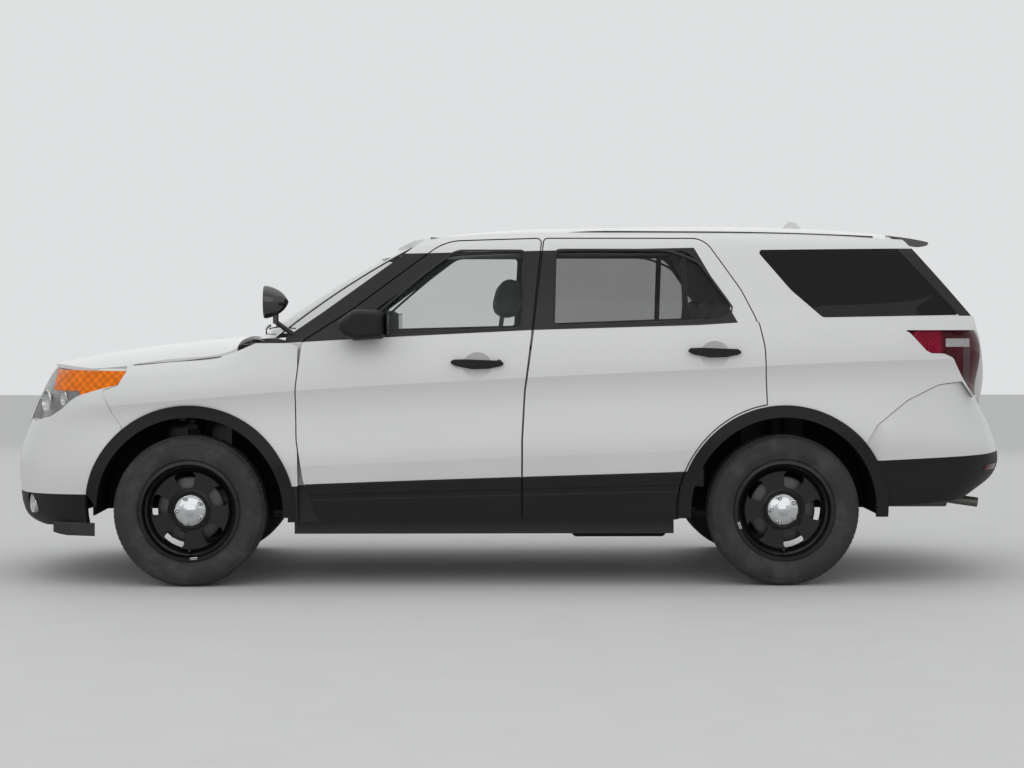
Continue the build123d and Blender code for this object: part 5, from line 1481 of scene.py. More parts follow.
@dataclass
class Headliner:
    """Cloth lining under the roof skin."""

    back: float = -1.80
    front: float = 0.47

    def build(self) -> None:
        """Make the lining."""
        piece = Clay.cast("headliner", "roof_panel")
        piece.drop(lambda c, n: n.z > -0.6 or c.z > 1.75)
        piece.cut((self.back, 0, 0), (-1, 0, 0)).cut((self.front, 0, 0), (1, 0, 0))
        piece.shape(lambda v: v + Vector((0.0, 0.0, -0.004)))
        piece.thick(0.008, 1.0)
        piece.done("headliner_cloth", "body", "cabin_plastic", 30.0)


@dataclass(frozen=True)
class Pad:
    """One padded piece, swollen by a short cloth simulation."""

    name: str
    low: Point
    high: Point
    lean: float
    pivot: tuple[float, float]
    cap: float = 0.022
    pinch: float = 0.010
    voxel: float = 0.006
    channels: tuple[tuple[int, float], ...] = ()

    def block(self) -> Clay:
        """Plain rounded block whose sides pull in between the corners.

        Returns:
            The block, upright.
        """
        pad = Clay.cube(self.name, self.low, self.high)
        pad.divide(5)
        middle = [(a + b) / 2 for a, b in zip(self.low, self.high)]
        half = [(b - a) / 2 for a, b in zip(self.low, self.high)]
        round_by = min(half) * 0.85

        def rule(v: Vector) -> Vector:
            """Round the edges and pull the sides in."""
            inner = Vector([max(-(h - round_by), min(h - round_by, v[i] - middle[i]))
                            for i, h in enumerate(half)])
            out = Vector([v[i] - middle[i] - inner[i] for i in range(3)])
            if out.length > round_by:
                out = out.normalized() * round_by
            spot = inner + out
            u = [abs(spot[i]) / half[i] for i in range(3)]
            for i in range(3):
                others = [u[j] for j in range(3) if j != i]
                spot[i] -= math.copysign(self.pinch, spot[i]) * u[i] * (1 - max(others)) * (half[i] > 0.08)
            return Vector(middle) + spot

        return pad.shape(rule)

    def swell(self, pad: Clay) -> Clay:
        """Remesh, run the cloth simulation, and keep each point within the cap.

        Args:
            pad: The block.

        Returns:
            The same piece, swollen.
        """
        pad.modify("REMESH", mode="VOXEL", voxel_size=self.voxel)
        thing = pad.thing
        before = [v.co.copy() for v in thing.data.vertices]
        modifier = thing.modifiers.new("cloth", "CLOTH")
        settings = modifier.settings
        settings.use_pressure = True
        settings.uniform_pressure_force = 4.0
        settings.effector_weights.gravity = 0.0
        modifier.point_cache.frame_start = 1
        modifier.point_cache.frame_end = 20
        for number in range(1, 21):
            bpy.context.scene.frame_set(number)
        rest_all()
        thing.select_set(True)
        bpy.context.view_layer.objects.active = thing
        bpy.ops.object.modifier_apply(modifier=modifier.name)
        bpy.context.scene.frame_set(1)
        for vert, start in zip(thing.data.vertices, before):
            move = vert.co - start
            if move.length > self.cap:
                vert.co = start + move.normalized() * self.cap
        return pad

    def sew(self, pad: Clay) -> Clay:
        """Press the sewn channels into the top of the pad.

        Args:
            pad: The pad.

        Returns:
            The same piece.
        """
        mesh = pad.thing.data
        for axis, place in self.channels:
            for vert in mesh.vertices:
                gap = abs(vert.co[axis] - place)
                if gap < 0.016:
                    vert.co -= vert.normal * 0.0075 * (1.0 + math.cos(math.pi * gap / 0.016)) / 2
        return pad

    def make(self) -> Clay:
        """Build the pad in its place.

        Returns:
            The pad.
        """
        pad = self.sew(self.swell(self.block()))
        pad.thing.data.transform(about_y(self.lean, *self.pivot))
        return pad


@dataclass
class Seats:
    """Padded front seats and rear bench on their shells."""

    front_y: float = 0.380
    front_lean: float = -0.254
    rear_lean: float = -0.345
    front_pivot: tuple[float, float] = (0.235, 0.530)
    rear_pivot: tuple[float, float] = (-0.705, 0.590)

    def front_pads(self) -> list[Pad]:
        """Pads of the left front seat."""
        y, lean, pivot = self.front_y, self.front_lean, self.front_pivot
        flat = (0.0, (0.0, 0.0))
        return [
            Pad("front_cushion", (0.205, y - 0.158, 0.512), (0.618, y + 0.158, 0.606), *flat,
                channels=((0, 0.34), (0, 0.49))),
            Pad("front_cushion_bolster", (0.215, y + 0.176, 0.512), (0.585, y + 0.232, 0.618), *flat,
                cap=0.014),
            Pad("front_back_pad", (0.196, y - 0.152, 0.635), (0.268, y + 0.152, 1.195), lean, pivot,
                channels=((2, 0.80), (2, 0.97))),
            Pad("front_back_bolster", (0.200, y + 0.170, 0.650), (0.300, y + 0.228, 1.165), lean, pivot,
                cap=0.014),
            Pad("front_headrest", (0.172, y - 0.118, 1.315), (0.296, y + 0.118, 1.515), lean, pivot, cap=0.014),
        ]

    def rear_pads(self) -> list[Pad]:
        """Pads of the left half of the rear bench."""
        lean, pivot = self.rear_lean, self.rear_pivot
        flat = (0.0, (0.0, 0.0))
        return [
            Pad("rear_cushion", (-0.735, 0.020, 0.520), (-0.325, 0.615, 0.610), *flat, voxel=0.006,
                channels=((0, -0.60), (0, -0.46), (1, 0.30))),
            Pad("rear_back_pad", (-0.758, 0.020, 0.660), (-0.688, 0.615, 1.225), lean, pivot,
                channels=((2, 0.85), (2, 1.03), (1, 0.30))),
            Pad("rear_headrest", (-0.752, 0.300, 1.330), (-0.690, 0.500, 1.430), lean, pivot, cap=0.010),
        ]

    def shells(self) -> None:
        """Hard backs, bases, rails and headrest posts."""
        y = self.front_y
        for side in Side:
            s = side.value
            back = Clay.cube(f"front_seat_shell_{side.word}", (0.158, s * y - 0.232, 0.560),
                             (0.194, s * y + 0.232, 1.215))
            back.divide(3)
            back.shape(lambda v, s=s: Vector((v.x - 0.030 * (1 - ((v.y - s * y) / 0.232) ** 2), v.y, v.z)))
            back.bevel(0.012, 3)
            back.thing.data.transform(about_y(self.front_lean, *self.front_pivot))
            tray = Clay.cube(f"tray_{side.word}", (0.180, s * y - 0.232, 0.455), (0.620, s * y + 0.232, 0.508))
            tray.bevel(0.016, 3)
            tray.extrude(lambda c, n: n.x > 0.9, (0.022, 0.0, 0.020), 0.97)
            pieces = [tray]
            for off in (-0.19, 0.19):
                rail = Clay.cube(f"rail_{side.word}_{off}", (0.175, s * y + off - 0.018, 0.340),
                                 (0.590, s * y + off + 0.018, 0.366))
                rail.bevel(0.004, 2)
                foot = Clay.cube(f"foot_{side.word}_{off}", (0.20, s * y + off - 0.014, 0.323),
                                 (0.25, s * y + off + 0.014, 0.456))
                foot.bevel(0.004, 2)
                front = foot.copy(f"foot_front_{side.word}_{off}", Matrix.Translation((0.30, 0.0, 0.0)))
                pieces += [rail, foot, front]
            for off in (-0.065, 0.065):
                pieces.append(Clay.rod(f"post_{side.word}_{off}", (0.060, s * y + off, 1.16),
                                       (0.035, s * y + off, 1.335), 0.0062, 16))
            hinge = Clay.turned(f"recliner_{side.word}",
                                [(0.0, 0.012), (0.040, 0.010), (0.052, 0.002), (0.055, -0.008)],
                                (0.215, s * (y + 0.236), 0.545), (0.0, s, 0.0), 32)
            pieces.append(hinge)
            back.join(*pieces)
            back.done("cabin_plastic", "body", "cabin_plastic", 35.0)
        base = Clay.cube("rear_seat_base", (-0.745, -0.610, 0.325), (-0.385, 0.610, 0.512))
        base.bevel(0.02, 3)
        board = Clay.cube("rear_seat_board", (-0.790, -0.615, 0.610), (-0.766, 0.615, 1.205))
        board.bevel(0.010, 3)
        board.thing.data.transform(about_y(self.rear_lean, *self.rear_pivot))
        posts = [Clay.rod(f"rear_post_{y}", (-0.925, y, 1.16), (-0.945, y, 1.34), 0.006, 16)
                 for y in (-0.46, -0.34, 0.34, 0.46)]
        base.join(board, *posts).done("cabin_plastic", "body", "cabin_plastic", 35.0)

    def build(self) -> None:
        """Make all seats."""
        self.shells()
        made: list[Clay] = []
        for pad in self.front_pads():
            first = pad.make()
            if pad.name.endswith("bolster"):
                inner = first.copy(f"{pad.name}_inner",
                                   Matrix.Translation((0.0, self.front_y, 0.0))
                                   @ Matrix.Scale(-1.0, 4, (0.0, 1.0, 0.0))
                                   @ Matrix.Translation((0.0, -self.front_y, 0.0)))
                first.thing.name = f"{pad.name}_outer"
                group = [first, inner]
            else:
                group = [first]
            for piece in group:
                base = piece.thing.name
                right = piece.twin(f"{base}_right")
                piece.thing.name = f"{base}_left"
                made += [piece, right]
        for pad in self.rear_pads():
            left = pad.make()
            right = left.twin(f"{pad.name}_right")
            left.thing.name = f"{pad.name}_left"
            made += [left, right]
        for piece in made:
            piece.done("seat_fabric", "body", "seat_fabric", 60.0)
        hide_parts("front_seats", "rear_seat")


@dataclass
class SteeringRim:
    """Steering wheel with a shaped grip, pad, spokes and column stalks."""

    centre: Point = (0.572, 0.380, 0.969)
    axis: Point = (-0.906, 0.0, 0.423)
    radius: float = 0.178

    def build(self) -> None:
        """Make the wheel and the stalks."""
        axis, centre = Vector(self.axis), Vector(self.centre)
        up = Vector((0.423, 0.0, 0.906))
        out = Vector((0.0, 1.0, 0.0))
        grip = [(self.radius + 0.0145 * math.cos(a), 0.0165 * math.sin(a) + 0.002)
                for a in (2 * math.pi * k / 14 for k in range(15))]
        rim = Clay.turned("steering_grip", grip, self.centre, self.axis, 72)
        pad = Clay.turned("steering_pad", [(0.0, 0.020), (0.040, 0.019), (0.066, 0.013), (0.078, 0.002),
                                           (0.079, -0.012),
                                           (0.060, -0.026), (0.030, -0.030)], self.centre, self.axis, 48)
        pad.shape(lambda v: v + up * (-0.18 * max(0.0, -(v - centre).dot(up))))
        spokes = []
        for i, way in enumerate((out + up * 0.12, -out + up * 0.12, -up)):
            way = way.normalized()
            start = centre + way * 0.060 - axis * 0.006
            end = centre + way * (self.radius - 0.006) - axis * 0.001
            spoke = Clay.rod(f"spoke_{i}", tuple(start), tuple(end), 0.024, 20, 0.015)
            spoke.shape(lambda v: v - axis * ((v - centre).dot(axis) + 0.004) * 0.62)
            spokes.append(spoke)
        pad.join(*spokes)
        rim.done("grip", "steering_wheel_body", "cabin_plastic", 50.0)
        pad.done("cabin_plastic", "steering_wheel_body", "cabin_plastic", 40.0)
        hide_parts("steering_wheel")
        base = centre - axis * 0.066
        for name, way, long in (("left", out, 0.145), ("right", -out, 0.150),
                                ("shift", (-out + up * 0.9).normalized(), 0.19)):
            tip = base + way * long - axis * -0.010
            stalk = Clay.strip(f"column_stalk_{name}",
                               [tuple(base + way * 0.03), tuple(base + way * long * 0.6), tuple(tip)],
                               0.014, 0.011, sides=4)
            stalk.done("cabin_plastic", "body", "cabin_plastic", 40.0)


@dataclass
class Dash:
    """Instrument hood, vents, screen, controls and console on the plain panel."""

    face_x: float = 0.655
    width: float = 0.745

    def build(self) -> None:
        """Make the dash pieces."""
        hood = Clay.cube("instrument_hood", (0.668, 0.215, 1.062), (0.815, 0.545, 1.132))
        hood.divide(3)
        hood.shape(lambda v: Vector((v.x, v.y, v.z - 0.055 * ((v.y - 0.38) / 0.165) ** 2 * (v.z - 1.05) / 0.08
                                     - max(0.0, v.x - 0.72) * 0.32)))
        hood.inset(lambda c, n: n.x < -0.7, 0.008, -0.035)
        hood.bevel(0.005, 3).done("cabin_plastic", "body", "cabin_plastic", 35.0)
        cluster = Clay.cube("instrument_cluster", (0.650, 0.245, 0.985), (0.668, 0.515, 1.068))
        cluster.inset(lambda c, n: n.x < -0.9, 0.010, -0.006).bevel(0.003, 2)
        cluster.done("screen", "body", "cabin_plastic", 35.0)
        for i, y in enumerate((0.315, 0.445)):
            ring = Clay.turned(f"gauge_ring_{i}", [(0.034, -0.002), (0.038, 0.000), (0.0405, 0.004),
                                                   (0.0375, 0.006),
                                                   (0.034, 0.003), (0.034, -0.002)], (0.650, y, 1.024),
                               (-1.0, 0.0, 0.0), 40)
            ring.done("satin_metal", "body", "cabin_plastic", 40.0)
        stack = Clay.cube("centre_stack", (0.628, -0.135, 0.790), (0.672, 0.135, 1.062))
        stack.shape(lambda v: Vector((
            v.x + (1.062 - v.z) * 0.10 - 0.008, v.y * (1.0 - (1.062 - v.z) * 0.25), v.z)))
        stack.inset(lambda c, n: n.x < -0.8, 0.012, -0.005).bevel(0.006, 3)
        stack.done("cabin_plastic", "body", "cabin_plastic", 35.0)
        screen = Clay.cube("centre_screen", (0.612, -0.105, 0.945), (0.640, 0.105, 1.046))
        screen.inset(lambda c, n: n.x < -0.8, 0.007, -0.003).bevel(0.003, 2)
        screen.done("screen", "body", "cabin_plastic", 35.0)
        knobs = []
        for i, y in enumerate((-0.075, 0.0, 0.075)):
            knobs.append(Clay.turned(f"knob_{i}", [(0.0, 0.020), (0.015, 0.019), (0.0175, 0.016), (0.019, 0.0),
                                                   (0.022, -0.003)],
                                     (0.626, y, 0.868), (-1.0, 0.0, 0.0), 28))
        for row in range(2):
            for k in range(5):
                y = -0.088 + 0.044 * k
                key = Clay.cube(f"key_{row}_{k}", (0.617, y - 0.017, 0.902 + 0.020 * row),
                                (0.630, y + 0.017, 0.917 + 0.020 * row))
                knobs.append(key.bevel(0.002, 2))
        knobs[0].join(*knobs[1:])
        knobs[0].thing.name = "stack_controls"
        knobs[0].done("black_satin", "body", "cabin_plastic", 35.0)
        for name, y in (("left_outer", 0.655), ("right_outer", -0.655), ("left_centre", 0.185),
                        ("right_centre", -0.185)):
            self.vent(name, y)
        lid = Clay.cube("glove_box", (0.648, -0.585, 0.815), (0.690, -0.215, 0.955))
        lid.shape(lambda v: Vector((v.x + (0.955 - v.z) * 0.14, v.y, v.z)))
        lid.inset(lambda c, n: n.x < -0.8, 0.010, 0.004).bevel(0.004, 2)
        lid.done("cabin_plastic", "body", "cabin_plastic", 35.0)
        box = Clay.cube("console_lid", (0.135, -0.108, 0.618), (0.395, 0.108, 0.668))
        box.divide(2).shape(lambda v: Vector((v.x, v.y, v.z + 0.012 * (1 - (v.y / 0.108) ** 2) * (v.z > 0.64))))
        box.bevel(0.010, 3).done("seat_vinyl", "body", "cabin_plastic", 40.0)
        for i, x in enumerate((0.470, 0.560)):
            cup = Clay.turned(f"cup_ring_{i}", [(0.034, -0.004), (0.034, 0.006), (0.040, 0.009), (0.046, 0.006),
                                                (0.048, -0.004), (0.034, -0.004)], (x, 0.0, 0.640),
                              (0.0, 0.0, 1.0), 40)
            cup.done("black_satin", "body", "cabin_plastic", 40.0)

    def vent(self, name: str, y: float) -> None:
        """Air vent with slats."""
        frame_piece = Clay.cube(f"vent_{name}", (self.face_x - 0.006, y - 0.052, 0.965),
                                (self.face_x + 0.030, y + 0.052, 1.035))
        frame_piece.inset(lambda c, n: n.x < -0.9, 0.007, -0.014)
        frame_piece.bevel(0.003, 2)
        slats = []
        for k in range(4):
            z = 0.976 + 0.016 * k
            slat = Clay.cube(f"slat_{name}_{k}", (self.face_x - 0.003, y - 0.045, z),
                             (self.face_x + 0.012, y + 0.045, z + 0.0025))
            slats.append(slat.shape(lambda v, z=z: Vector((v.x, v.y, v.z + (v.x - self.face_x) * 0.35))))
        frame_piece.join(*slats).done("cabin_plastic", "body", "cabin_plastic", 35.0)


@dataclass
class DoorCards:
    """Inner panels of the four doors with armrests, pulls and speaker rings."""

    belt: float = 1.195
    foot: float = 0.430
    lift: float = 0.016

    def card(self, end: str) -> Clay:
        """Panel over a door's inner face.

        Args:
            end: "front" or "rear".

        Returns:
            The left panel.
        """
        node = f"{end}_door_left"
        low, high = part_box(node)
        inner = min(v.co.y for v in frame["nodes"][node].data.vertices if 0.5 < v.co.z < 1.0)
        piece = Clay.cast(f"{end}_door_card_left", node)
        piece.drop(lambda c, n: not (n.y < -0.9 and c.y < inner + 0.02))
        piece.cut((0.0, 0.0, self.belt), (0.0, 0.0, 1.0)).cut((0.0, 0.0, self.foot), (0.0, 0.0, -1.0))
        piece.cut((low[0] + 0.05, 0.0, 0.0), (-1.0, 0.0, 0.0)).cut((high[0] - 0.05, 0.0, 0.0), (1.0, 0.0, 0.0))
        piece.shape(lambda v: v - Vector((0.0, 0.010, 0.0)))
        return piece.thick(0.006)

    def build(self) -> None:
        """Make the four panels."""
        for end in ("front", "rear"):
            card = self.card(end)
            low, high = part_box(f"{end}_door_left")
            y = min(v.co.y for v in card.thing.data.vertices)
            mid = (low[0] + high[0]) / 2 - (0.06 if end == "front" else 0.0)
            rest = Clay.cube(f"{end}_armrest", (mid - 0.24, y - 0.052, 0.800), (mid + 0.20, y + 0.004, 0.850))
            rest.extrude(lambda c, n: n.x > 0.9, (0.07, 0.012, 0.038), 0.72)
            rest.bevel(0.011, 3)
            pull = Clay.strip(f"{end}_pull", [(mid + 0.24, y - 0.004, 0.905), (mid + 0.262, y - 0.024, 0.935),
                                              (mid + 0.262, y - 0.026, 0.985), (mid + 0.24, y - 0.004, 1.015)],
                              0.016, 0.012, sides=3)
            ring = Clay.turned(f"{end}_speaker", [(0.0, 0.002), (0.060, 0.003), (0.064, 0.006), (0.074, 0.006),
                                                  (0.080, -0.002)],
                               (mid + 0.20, y, 0.560), (0.0, -1.0, 0.0), 48)
            pocket = Clay.cube(f"{end}_pocket", (mid - 0.30, y - 0.040, 0.470), (mid + 0.06, y + 0.002, 0.560))
            pocket.inset(lambda c, n: n.z > 0.9, 0.006, -0.055).bevel(0.005, 2)
            handle = Clay.cube(f"{end}_opener", (mid + 0.05, y - 0.012, 0.985), (mid + 0.16, y + 0.002, 1.020))
            handle.inset(lambda c, n: n.y < -0.9, 0.008, -0.006).bevel(0.003, 2)
            card.join(rest, pull, ring, pocket, handle)
            right = card.twin(f"{end}_door_card_right")
            card.done("cabin_plastic", f"{end}_door_left_body", "cabin_plastic", 35.0)
            right.done("cabin_plastic", f"{end}_door_right_body", "cabin_plastic", 35.0)


@dataclass
class FrontEnd:
    """Fog lamps, screens behind the openings, wheel deflectors, and dark strips in the hood's shut lines as
    painted shade.
    """

    fog: Point = (2.350, 0.650, 0.382)
    fog_way: Point = (1.0, 0.5, 0.0)
    fog_radius: float = 0.043
    hood_edge: tuple[tuple[float, float], ...] = (
        (1.400, 0.8995), (1.554, 0.896), (1.690, 0.886), (1.823, 0.872), (1.950, 0.8425), (2.040, 0.8215))

    def fog_lamp(self, side: Side) -> None:
        """Bowl and lens of one fog lamp."""
        s, r = side.value, self.fog_radius
        centre = (self.fog[0], s * self.fog[1], self.fog[2])
        way = (self.fog_way[0], s * self.fog_way[1], self.fog_way[2])
        bowl = Clay.turned(f"fog_bowl_{side.word}",
                           [(0.0, -0.030), (0.5 * r, -0.024), (0.85 * r, -0.006), (r, 0.006),
                                                     (1.09 * r, 0.007), (1.12 * r, 0.0), (1.12 * r, -0.012)],
                           centre, way, 44)
        bowl.done("chrome", "body", "lamp_lens", 50.0)
        lens = Clay.turned(f"fog_lens_{side.word}",
                           [(0.0, 0.012), (0.5 * r, 0.0105), (0.9 * r, 0.006), (1.02 * r, 0.003)],
                           centre, way, 44)
        lens.thick(0.002).done("lamp_lens", "body", "lamp_lens", 50.0)

    def screen(self, name: str, place: Point, size: tuple[float, float], cells: tuple[int, int]) -> None:
        """Wire screen across the vehicle, behind an opening."""
        piece = Clay.grid(name, place, size, cells)
        piece.modify("WIREFRAME", thickness=0.0035, use_even_offset=True)
        piece.done("black_satin", "body", "black_trim", 0.0)

    def build(self) -> None:
        """Make the front details."""
        for side in Side:
            self.fog_lamp(side)
        self.screen("lower_intake_screen", (2.372, 0.0, 0.373), (0.900, 0.105), (48, 6))
        self.screen("grille_screen", (2.235, 0.0, 0.838), (0.840, 0.235), (44, 12))
        flap = Clay.cube("wheel_deflector_left", (2.020, 0.846, 0.236), (2.235, 0.852, 0.300))
        flap.divide(5).shape(lambda v: Vector((v.x, v.y - 0.3 * (v.x - 2.04) - 0.6 * (v.x - 2.04) ** 2,
                                               v.z + 0.25 * max(0.0, v.x - 2.18) * (v.z < 0.25))))
        flap.bevel(0.002, 2)
        right = flap.twin("wheel_deflector_right")
        # Dark strips in the gaps between hood and fenders: painted shade of the shut lines, in the seal rubber
        # finish.
        path = []
        for x, y in self.hood_edge:
            hit = touch(("front_fender_left",), (x, y + 0.0085, 2.0), (0.0, 0.0, -1.0))
            if hit is not None and hit.z > 1.0:
                path.append((x, y + 0.0085, hit.z + 0.0004))
        seam = Clay.strip("hood_seam_left", path, 0.005, 0.003, sides=2)
        twin = seam.twin("hood_seam_right")
        for piece in (flap, right, seam, twin):
            piece.done("rubber_trim", "body", "black_trim", 45.0)


@dataclass
class RearEnd:
    """Rear wiper, high stop lamp, grip bar, reflectors and inner panel of the tailgate."""

    pivot_z: float = 1.298
    bar: tuple[float, float, float] = (0.330, 1.112, 1.150)

    def behind(self, y: float, z: float, lift: float,
               nodes: Sequence[str] = ("liftgate", "liftgate_glass")) -> Point:
        """Point just behind the tailgate or bumper."""
        hit = touch(nodes, (-3.2, y, z), (1.0, 0.0, 0.0))
        return (hit.x - lift, y, z)

    def build(self) -> None:
        """Make the rear details."""
        body = "liftgate_body"
        cap = Clay.turned("rear_wiper_pivot", [(0.0, 0.026), (0.012, 0.025), (0.019, 0.018), (0.021, 0.002),
                                               (0.023, -0.004)],
                          self.behind(0.0, self.pivot_z, 0.0), (-0.90, 0.0, 0.43), 28)
        cap.done("black_satin", body, "black_trim", 40.0)
        arm = Clay.strip("rear_wiper_arm", [self.behind(0.0, self.pivot_z, 0.020),
                                            self.behind(-0.07, 1.312, 0.026),
                                            self.behind(-0.15, 1.336, 0.024),
                                            self.behind(-0.215, 1.352, 0.018)],
                         0.012, 0.006, sides=2)
        arm.done("black_satin", body, "black_trim", 45.0)
        blade = Clay.strip("rear_wiper_blade",
                           [self.behind(-0.05 - 0.055 * k, 1.334 + 0.006 * k, 0.008) for k in range(7)],
                           0.009, 0.009, sides=2)
        blade.done("rubber_trim", body, "black_trim", 45.0)
        lamp = Clay.cube("high_stop_lamp", (-2.1105, -0.165, 1.6695), (-2.1000, 0.165, 1.6805))
        lamp.divide(3).bevel(0.002, 2).done("tail_lens", body, "red_lens", 40.0)
        half, low, high = self.bar
        middle = (low + high) / 2
        bar = Clay.cube("tailgate_grip_bar", (-0.016, -half, low), (0.008, half, high))
        bar.divide(6).shape(lambda v: Vector((v.x + self.behind(v.y, middle, 0.0)[0] + 0.1 * (v.z - middle),
                                              v.y, v.z)))
        bar.bevel(0.005, 3).done("gloss_black", body, "gloss_black", 40.0)
        for side in Side:
            y = side.value * 0.700
            nodes = ("rear_valance", "rear_bumper")
            glow = Clay.cube(f"rear_reflector_{side.word}", (-0.004, y - 0.075, 0.545),
                             (0.004, y + 0.075, 0.572))
            glow.divide(5).shape(lambda v: Vector((v.x + self.behind(v.y, v.z, 0.0, nodes)[0], v.y, v.z)))
            glow.bevel(0.0015, 2).done("tail_lens", "body", "red_lens", 40.0)
        panel = Clay.cast("tailgate_inner_panel", "liftgate")
        panel.drop(lambda c, n: n.x < 0.75 or c.z > 1.30 or abs(c.y) > 0.64)
        panel.cut((0.0, 0.0, 0.86), (0.0, 0.0, -1.0)).cut((0.0, 0.0, 1.275), (0.0, 0.0, 1.0))
        panel.cut((0.0, 0.62, 0.0), (0.0, 1.0, 0.0)).cut((0.0, -0.62, 0.0), (0.0, -1.0, 0.0))
        panel.shape(lambda v: v + Vector((0.004, 0.0, 0.0)))
        panel.thick(0.005).done("cabin_plastic", body, "cabin_plastic", 35.0)


@dataclass
class EngineBay:
    """Cover, air box and duct, battery, coolant tank, caps and hoses under the hood."""

    def build(self) -> None:
        """Make the pieces."""
        cover = Clay.cube("engine_cover", (1.440, -0.250, 0.935), (1.830, 0.250, 0.992))
        cover.divide(4)
        cover.shape(lambda v: Vector((
            v.x, v.y,
            v.z + (0.018 * (1.0 - (v.y / 0.25) ** 2) - 0.020 * ((v.x - 1.60) / 0.2) ** 2) * (v.z > 0.96))))
        cover.inset(lambda c, n: n.z > 0.8 and abs(c.y) < 0.11, 0.012, -0.007)
        cover.bevel(0.010, 3).done("cabin_plastic", "body", "black_trim", 35.0)
        box = Clay.cube("air_box", (1.790, 0.440, 0.800), (2.020, 0.670, 0.950))
        box.inset(lambda c, n: n.z > 0.9, 0.016, 0.010).inset(
            lambda c, n: n.z > 0.9 and c.z > 0.955, 0.030, -0.006)
        box.bevel(0.010, 3).done("black_satin", "body", "black_trim", 35.0)
        duct = Clay.strip("air_duct", [(1.860, 0.455, 0.900), (1.850, 0.360, 0.935), (1.830, 0.240, 0.985),
                                       (1.760, 0.150, 1.000)], 0.074, 0.070, sides=8)
        duct.done("rubber_trim", "body", "black_trim", 45.0)
        cell = Clay.cube("battery", (1.790, -0.680, 0.800), (2.010, -0.470, 0.955))
        cell.inset(lambda c, n: n.z > 0.9, 0.008, 0.012).bevel(0.005, 2)
        posts = [Clay.rod(f"battery_post_{i}", (x, -0.515, 0.965), (x, -0.515, 0.985), 0.010, 20, 0.008)
                 for i, x in enumerate((1.840, 1.960))]
        cell.join(*[post.bevel(0.002, 2) for post in posts]).done("black_satin", "body", "black_trim", 35.0)
        tank = Clay.cube("coolant_tank", (1.655, -0.690, 0.895), (1.760, -0.520, 0.990))
        tank.divide(2, 0.3).bevel(0.012, 3).done("bulb_glass", "body", "lamp_lens", 40.0)
        for name, x, y, z in (("coolant_cap", 1.705, -0.605, 0.998), ("washer_cap", 1.700, 0.600, 0.985),
                              ("oil_cap", 1.520, -0.150, 1.000)):
            cap = Clay.turned(name, [(0.0, 0.014), (0.016, 0.013), (0.023, 0.010), (0.024, 0.0),
                                     (0.020, -0.010), (0.019, -0.030)],
                              (x, y, z), (0.0, 0.0, 1.0), 28)
            cap.done("black_satin", "body", "black_trim", 35.0)
        hoses = {
            "radiator_hose_upper": [(2.070, 0.260, 0.900), (2.000, 0.255, 0.930), (1.900, 0.200, 0.930),
                                    (1.830, 0.180, 0.920)],
            "radiator_hose_lower": [(2.070, -0.280, 0.560), (1.990, -0.280, 0.540), (1.930, -0.260, 0.540),
                                    (1.890, -0.240, 0.560)],
        }
        for name, path in hoses.items():
            hose = Clay.strip(name, path, 0.040, 0.038, sides=6)
            hose.done("rubber_trim", "body", "black_trim", 50.0)


def dress_frame() -> None:
    """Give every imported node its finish."""
    slots = {part["node"]: part["material_slot"] for part in frame["record"]["subparts"]}
    banded = {"body_side_left", "body_side_right", "front_fender_left", "front_fender_right"} | {
        f"{end}_door_{side.word}" for end in ("front", "rear") for side in Side}
    special = dict.fromkeys(banded, "side_paint") | {"windshield": "windscreen", "wheel_liners": "liner"}
    special |= {node: "rear_door_glass" for node in slots if node.startswith("rear_door_glass")}
    for node, thing in frame["nodes"].items():
        finish = MATERIALS[special.get(node, slots[node])]
        thing.data.materials.clear()
        thing.data.materials.append(finish)


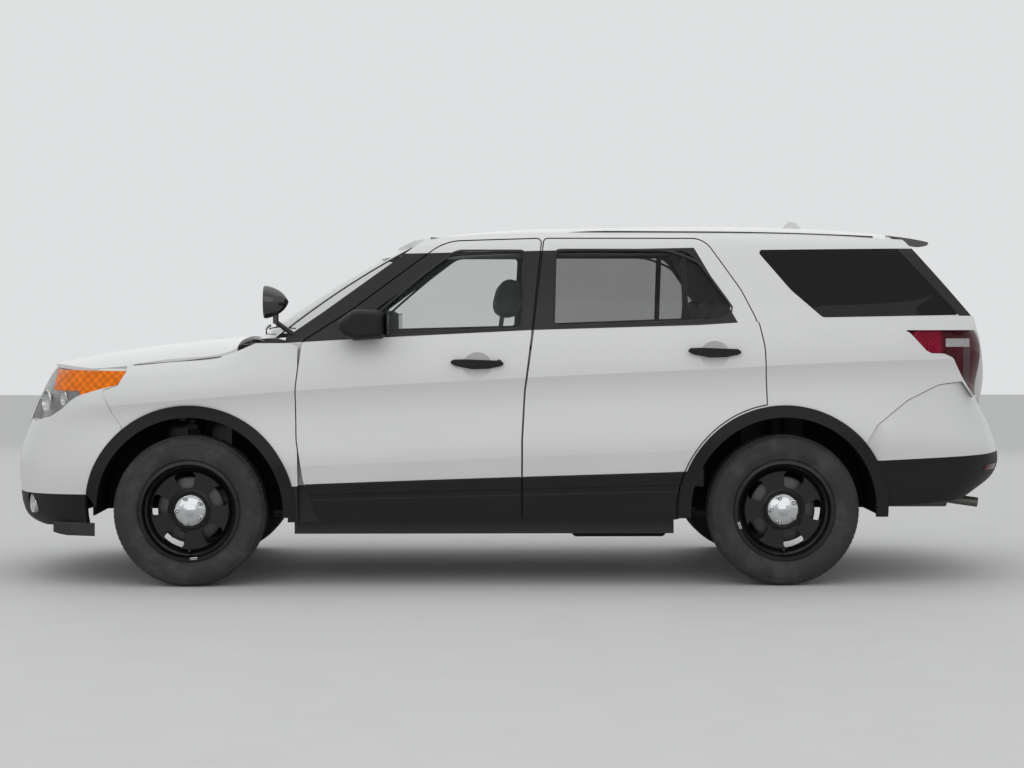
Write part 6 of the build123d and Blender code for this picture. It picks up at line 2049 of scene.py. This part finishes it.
@dataclass
class Studio:
    """Floor, lamps, world and camera."""

    eye: Point = (0.197, 12.0, 1.304)
    focal: float = 81.04
    pan: float = math.radians(0.994)
    tilt: float = math.radians(1.715)

    def camera(self) -> None:
        """Place the camera on the left side, aimed a little below and ahead of it."""
        data = bpy.data.cameras.new("camera")
        data.lens = self.focal
        data.clip_end = 200.0
        thing = bpy.data.objects.new("camera", data)
        thing.location = self.eye
        thing.rotation_euler = (math.pi / 2 - self.tilt, 0.0, math.pi - self.pan)
        bpy.context.collection.objects.link(thing)
        bpy.context.scene.camera = thing

    def lamp(self, name: str, place: Point, aim: Point, size: tuple[float, float], power: float) -> None:
        """Add one soft lamp.

        Args:
            name: Lamp name.
            place: Where it hangs.
            aim: What it points at.
            size: Width and height.
            power: Watts.
        """
        data = bpy.data.lights.new(name, "AREA")
        data.shape = "RECTANGLE"
        data.size, data.size_y = size
        data.energy = power
        thing = bpy.data.objects.new(name, data)
        thing.location = place
        thing.rotation_euler = (Vector(aim) - Vector(place)).to_track_quat("-Z", "Y").to_euler()
        bpy.context.collection.objects.link(thing)

    def build(self) -> None:
        """Make the whole studio."""
        self.camera()
        self.lamp("overhead", (0.0, 0.5, 6.0), (0.0, 0.0, 0.8), (9.0, 5.0), 72.0)
        self.lamp("near_side", (1.0, 9.0, 4.5), (0.0, 0.0, 0.9), (14.0, 6.0), 175.0)
        self.lamp("far_side", (-1.0, -9.0, 4.5), (0.0, 0.0, 0.9), (14.0, 6.0), 100.0)
        world = bpy.data.worlds.new("studio")
        world.use_nodes = True
        tree = world.node_tree
        back = tree.nodes["Background"]
        back.inputs["Color"].default_value = (0.92, 0.93, 0.94, 1.0)
        back.inputs["Strength"].default_value = 0.80
        bpy.context.scene.world = world
        bpy.ops.mesh.primitive_plane_add(size=120.0, location=(0.0, 34.4, 0.0))
        floor = bpy.context.active_object
        floor.name = "studio_floor"
        sh = Shader("studio_floor")
        grain = sh.noise(3.0, 6.0)
        sh.set(Base_Color=sh.blend(grain, (0.60, 0.60, 0.595), (0.55, 0.55, 0.545)), Roughness=0.75,
               Normal=sh.bump(sh.noise(140.0, 4.0), 0.0006, 0.4))
        floor.data.materials.append(sh.material)
        bpy.context.scene.view_settings.view_transform = "Standard"


ASSEMBLIES = (Tyres, WheelDress, HeadLamps, TailLamps, SideTrim, Mirrors, Wipers, Spotlight, Headliner, Seats,
              SteeringRim, Dash, DoorCards, FrontEnd, RearEnd, EngineBay)


def main() -> None:
    """Build every sub-assembly in order."""
    Studio().build()
    dress_frame()
    for assembly in ASSEMBLIES:
        started = time.time()
        assembly().build()
        LOG.info("%s took %.1f s", assembly.__name__, time.time() - started)


if __name__ == "__main__":
    logging.basicConfig(level=logging.INFO, format="%(message)s")
    main()
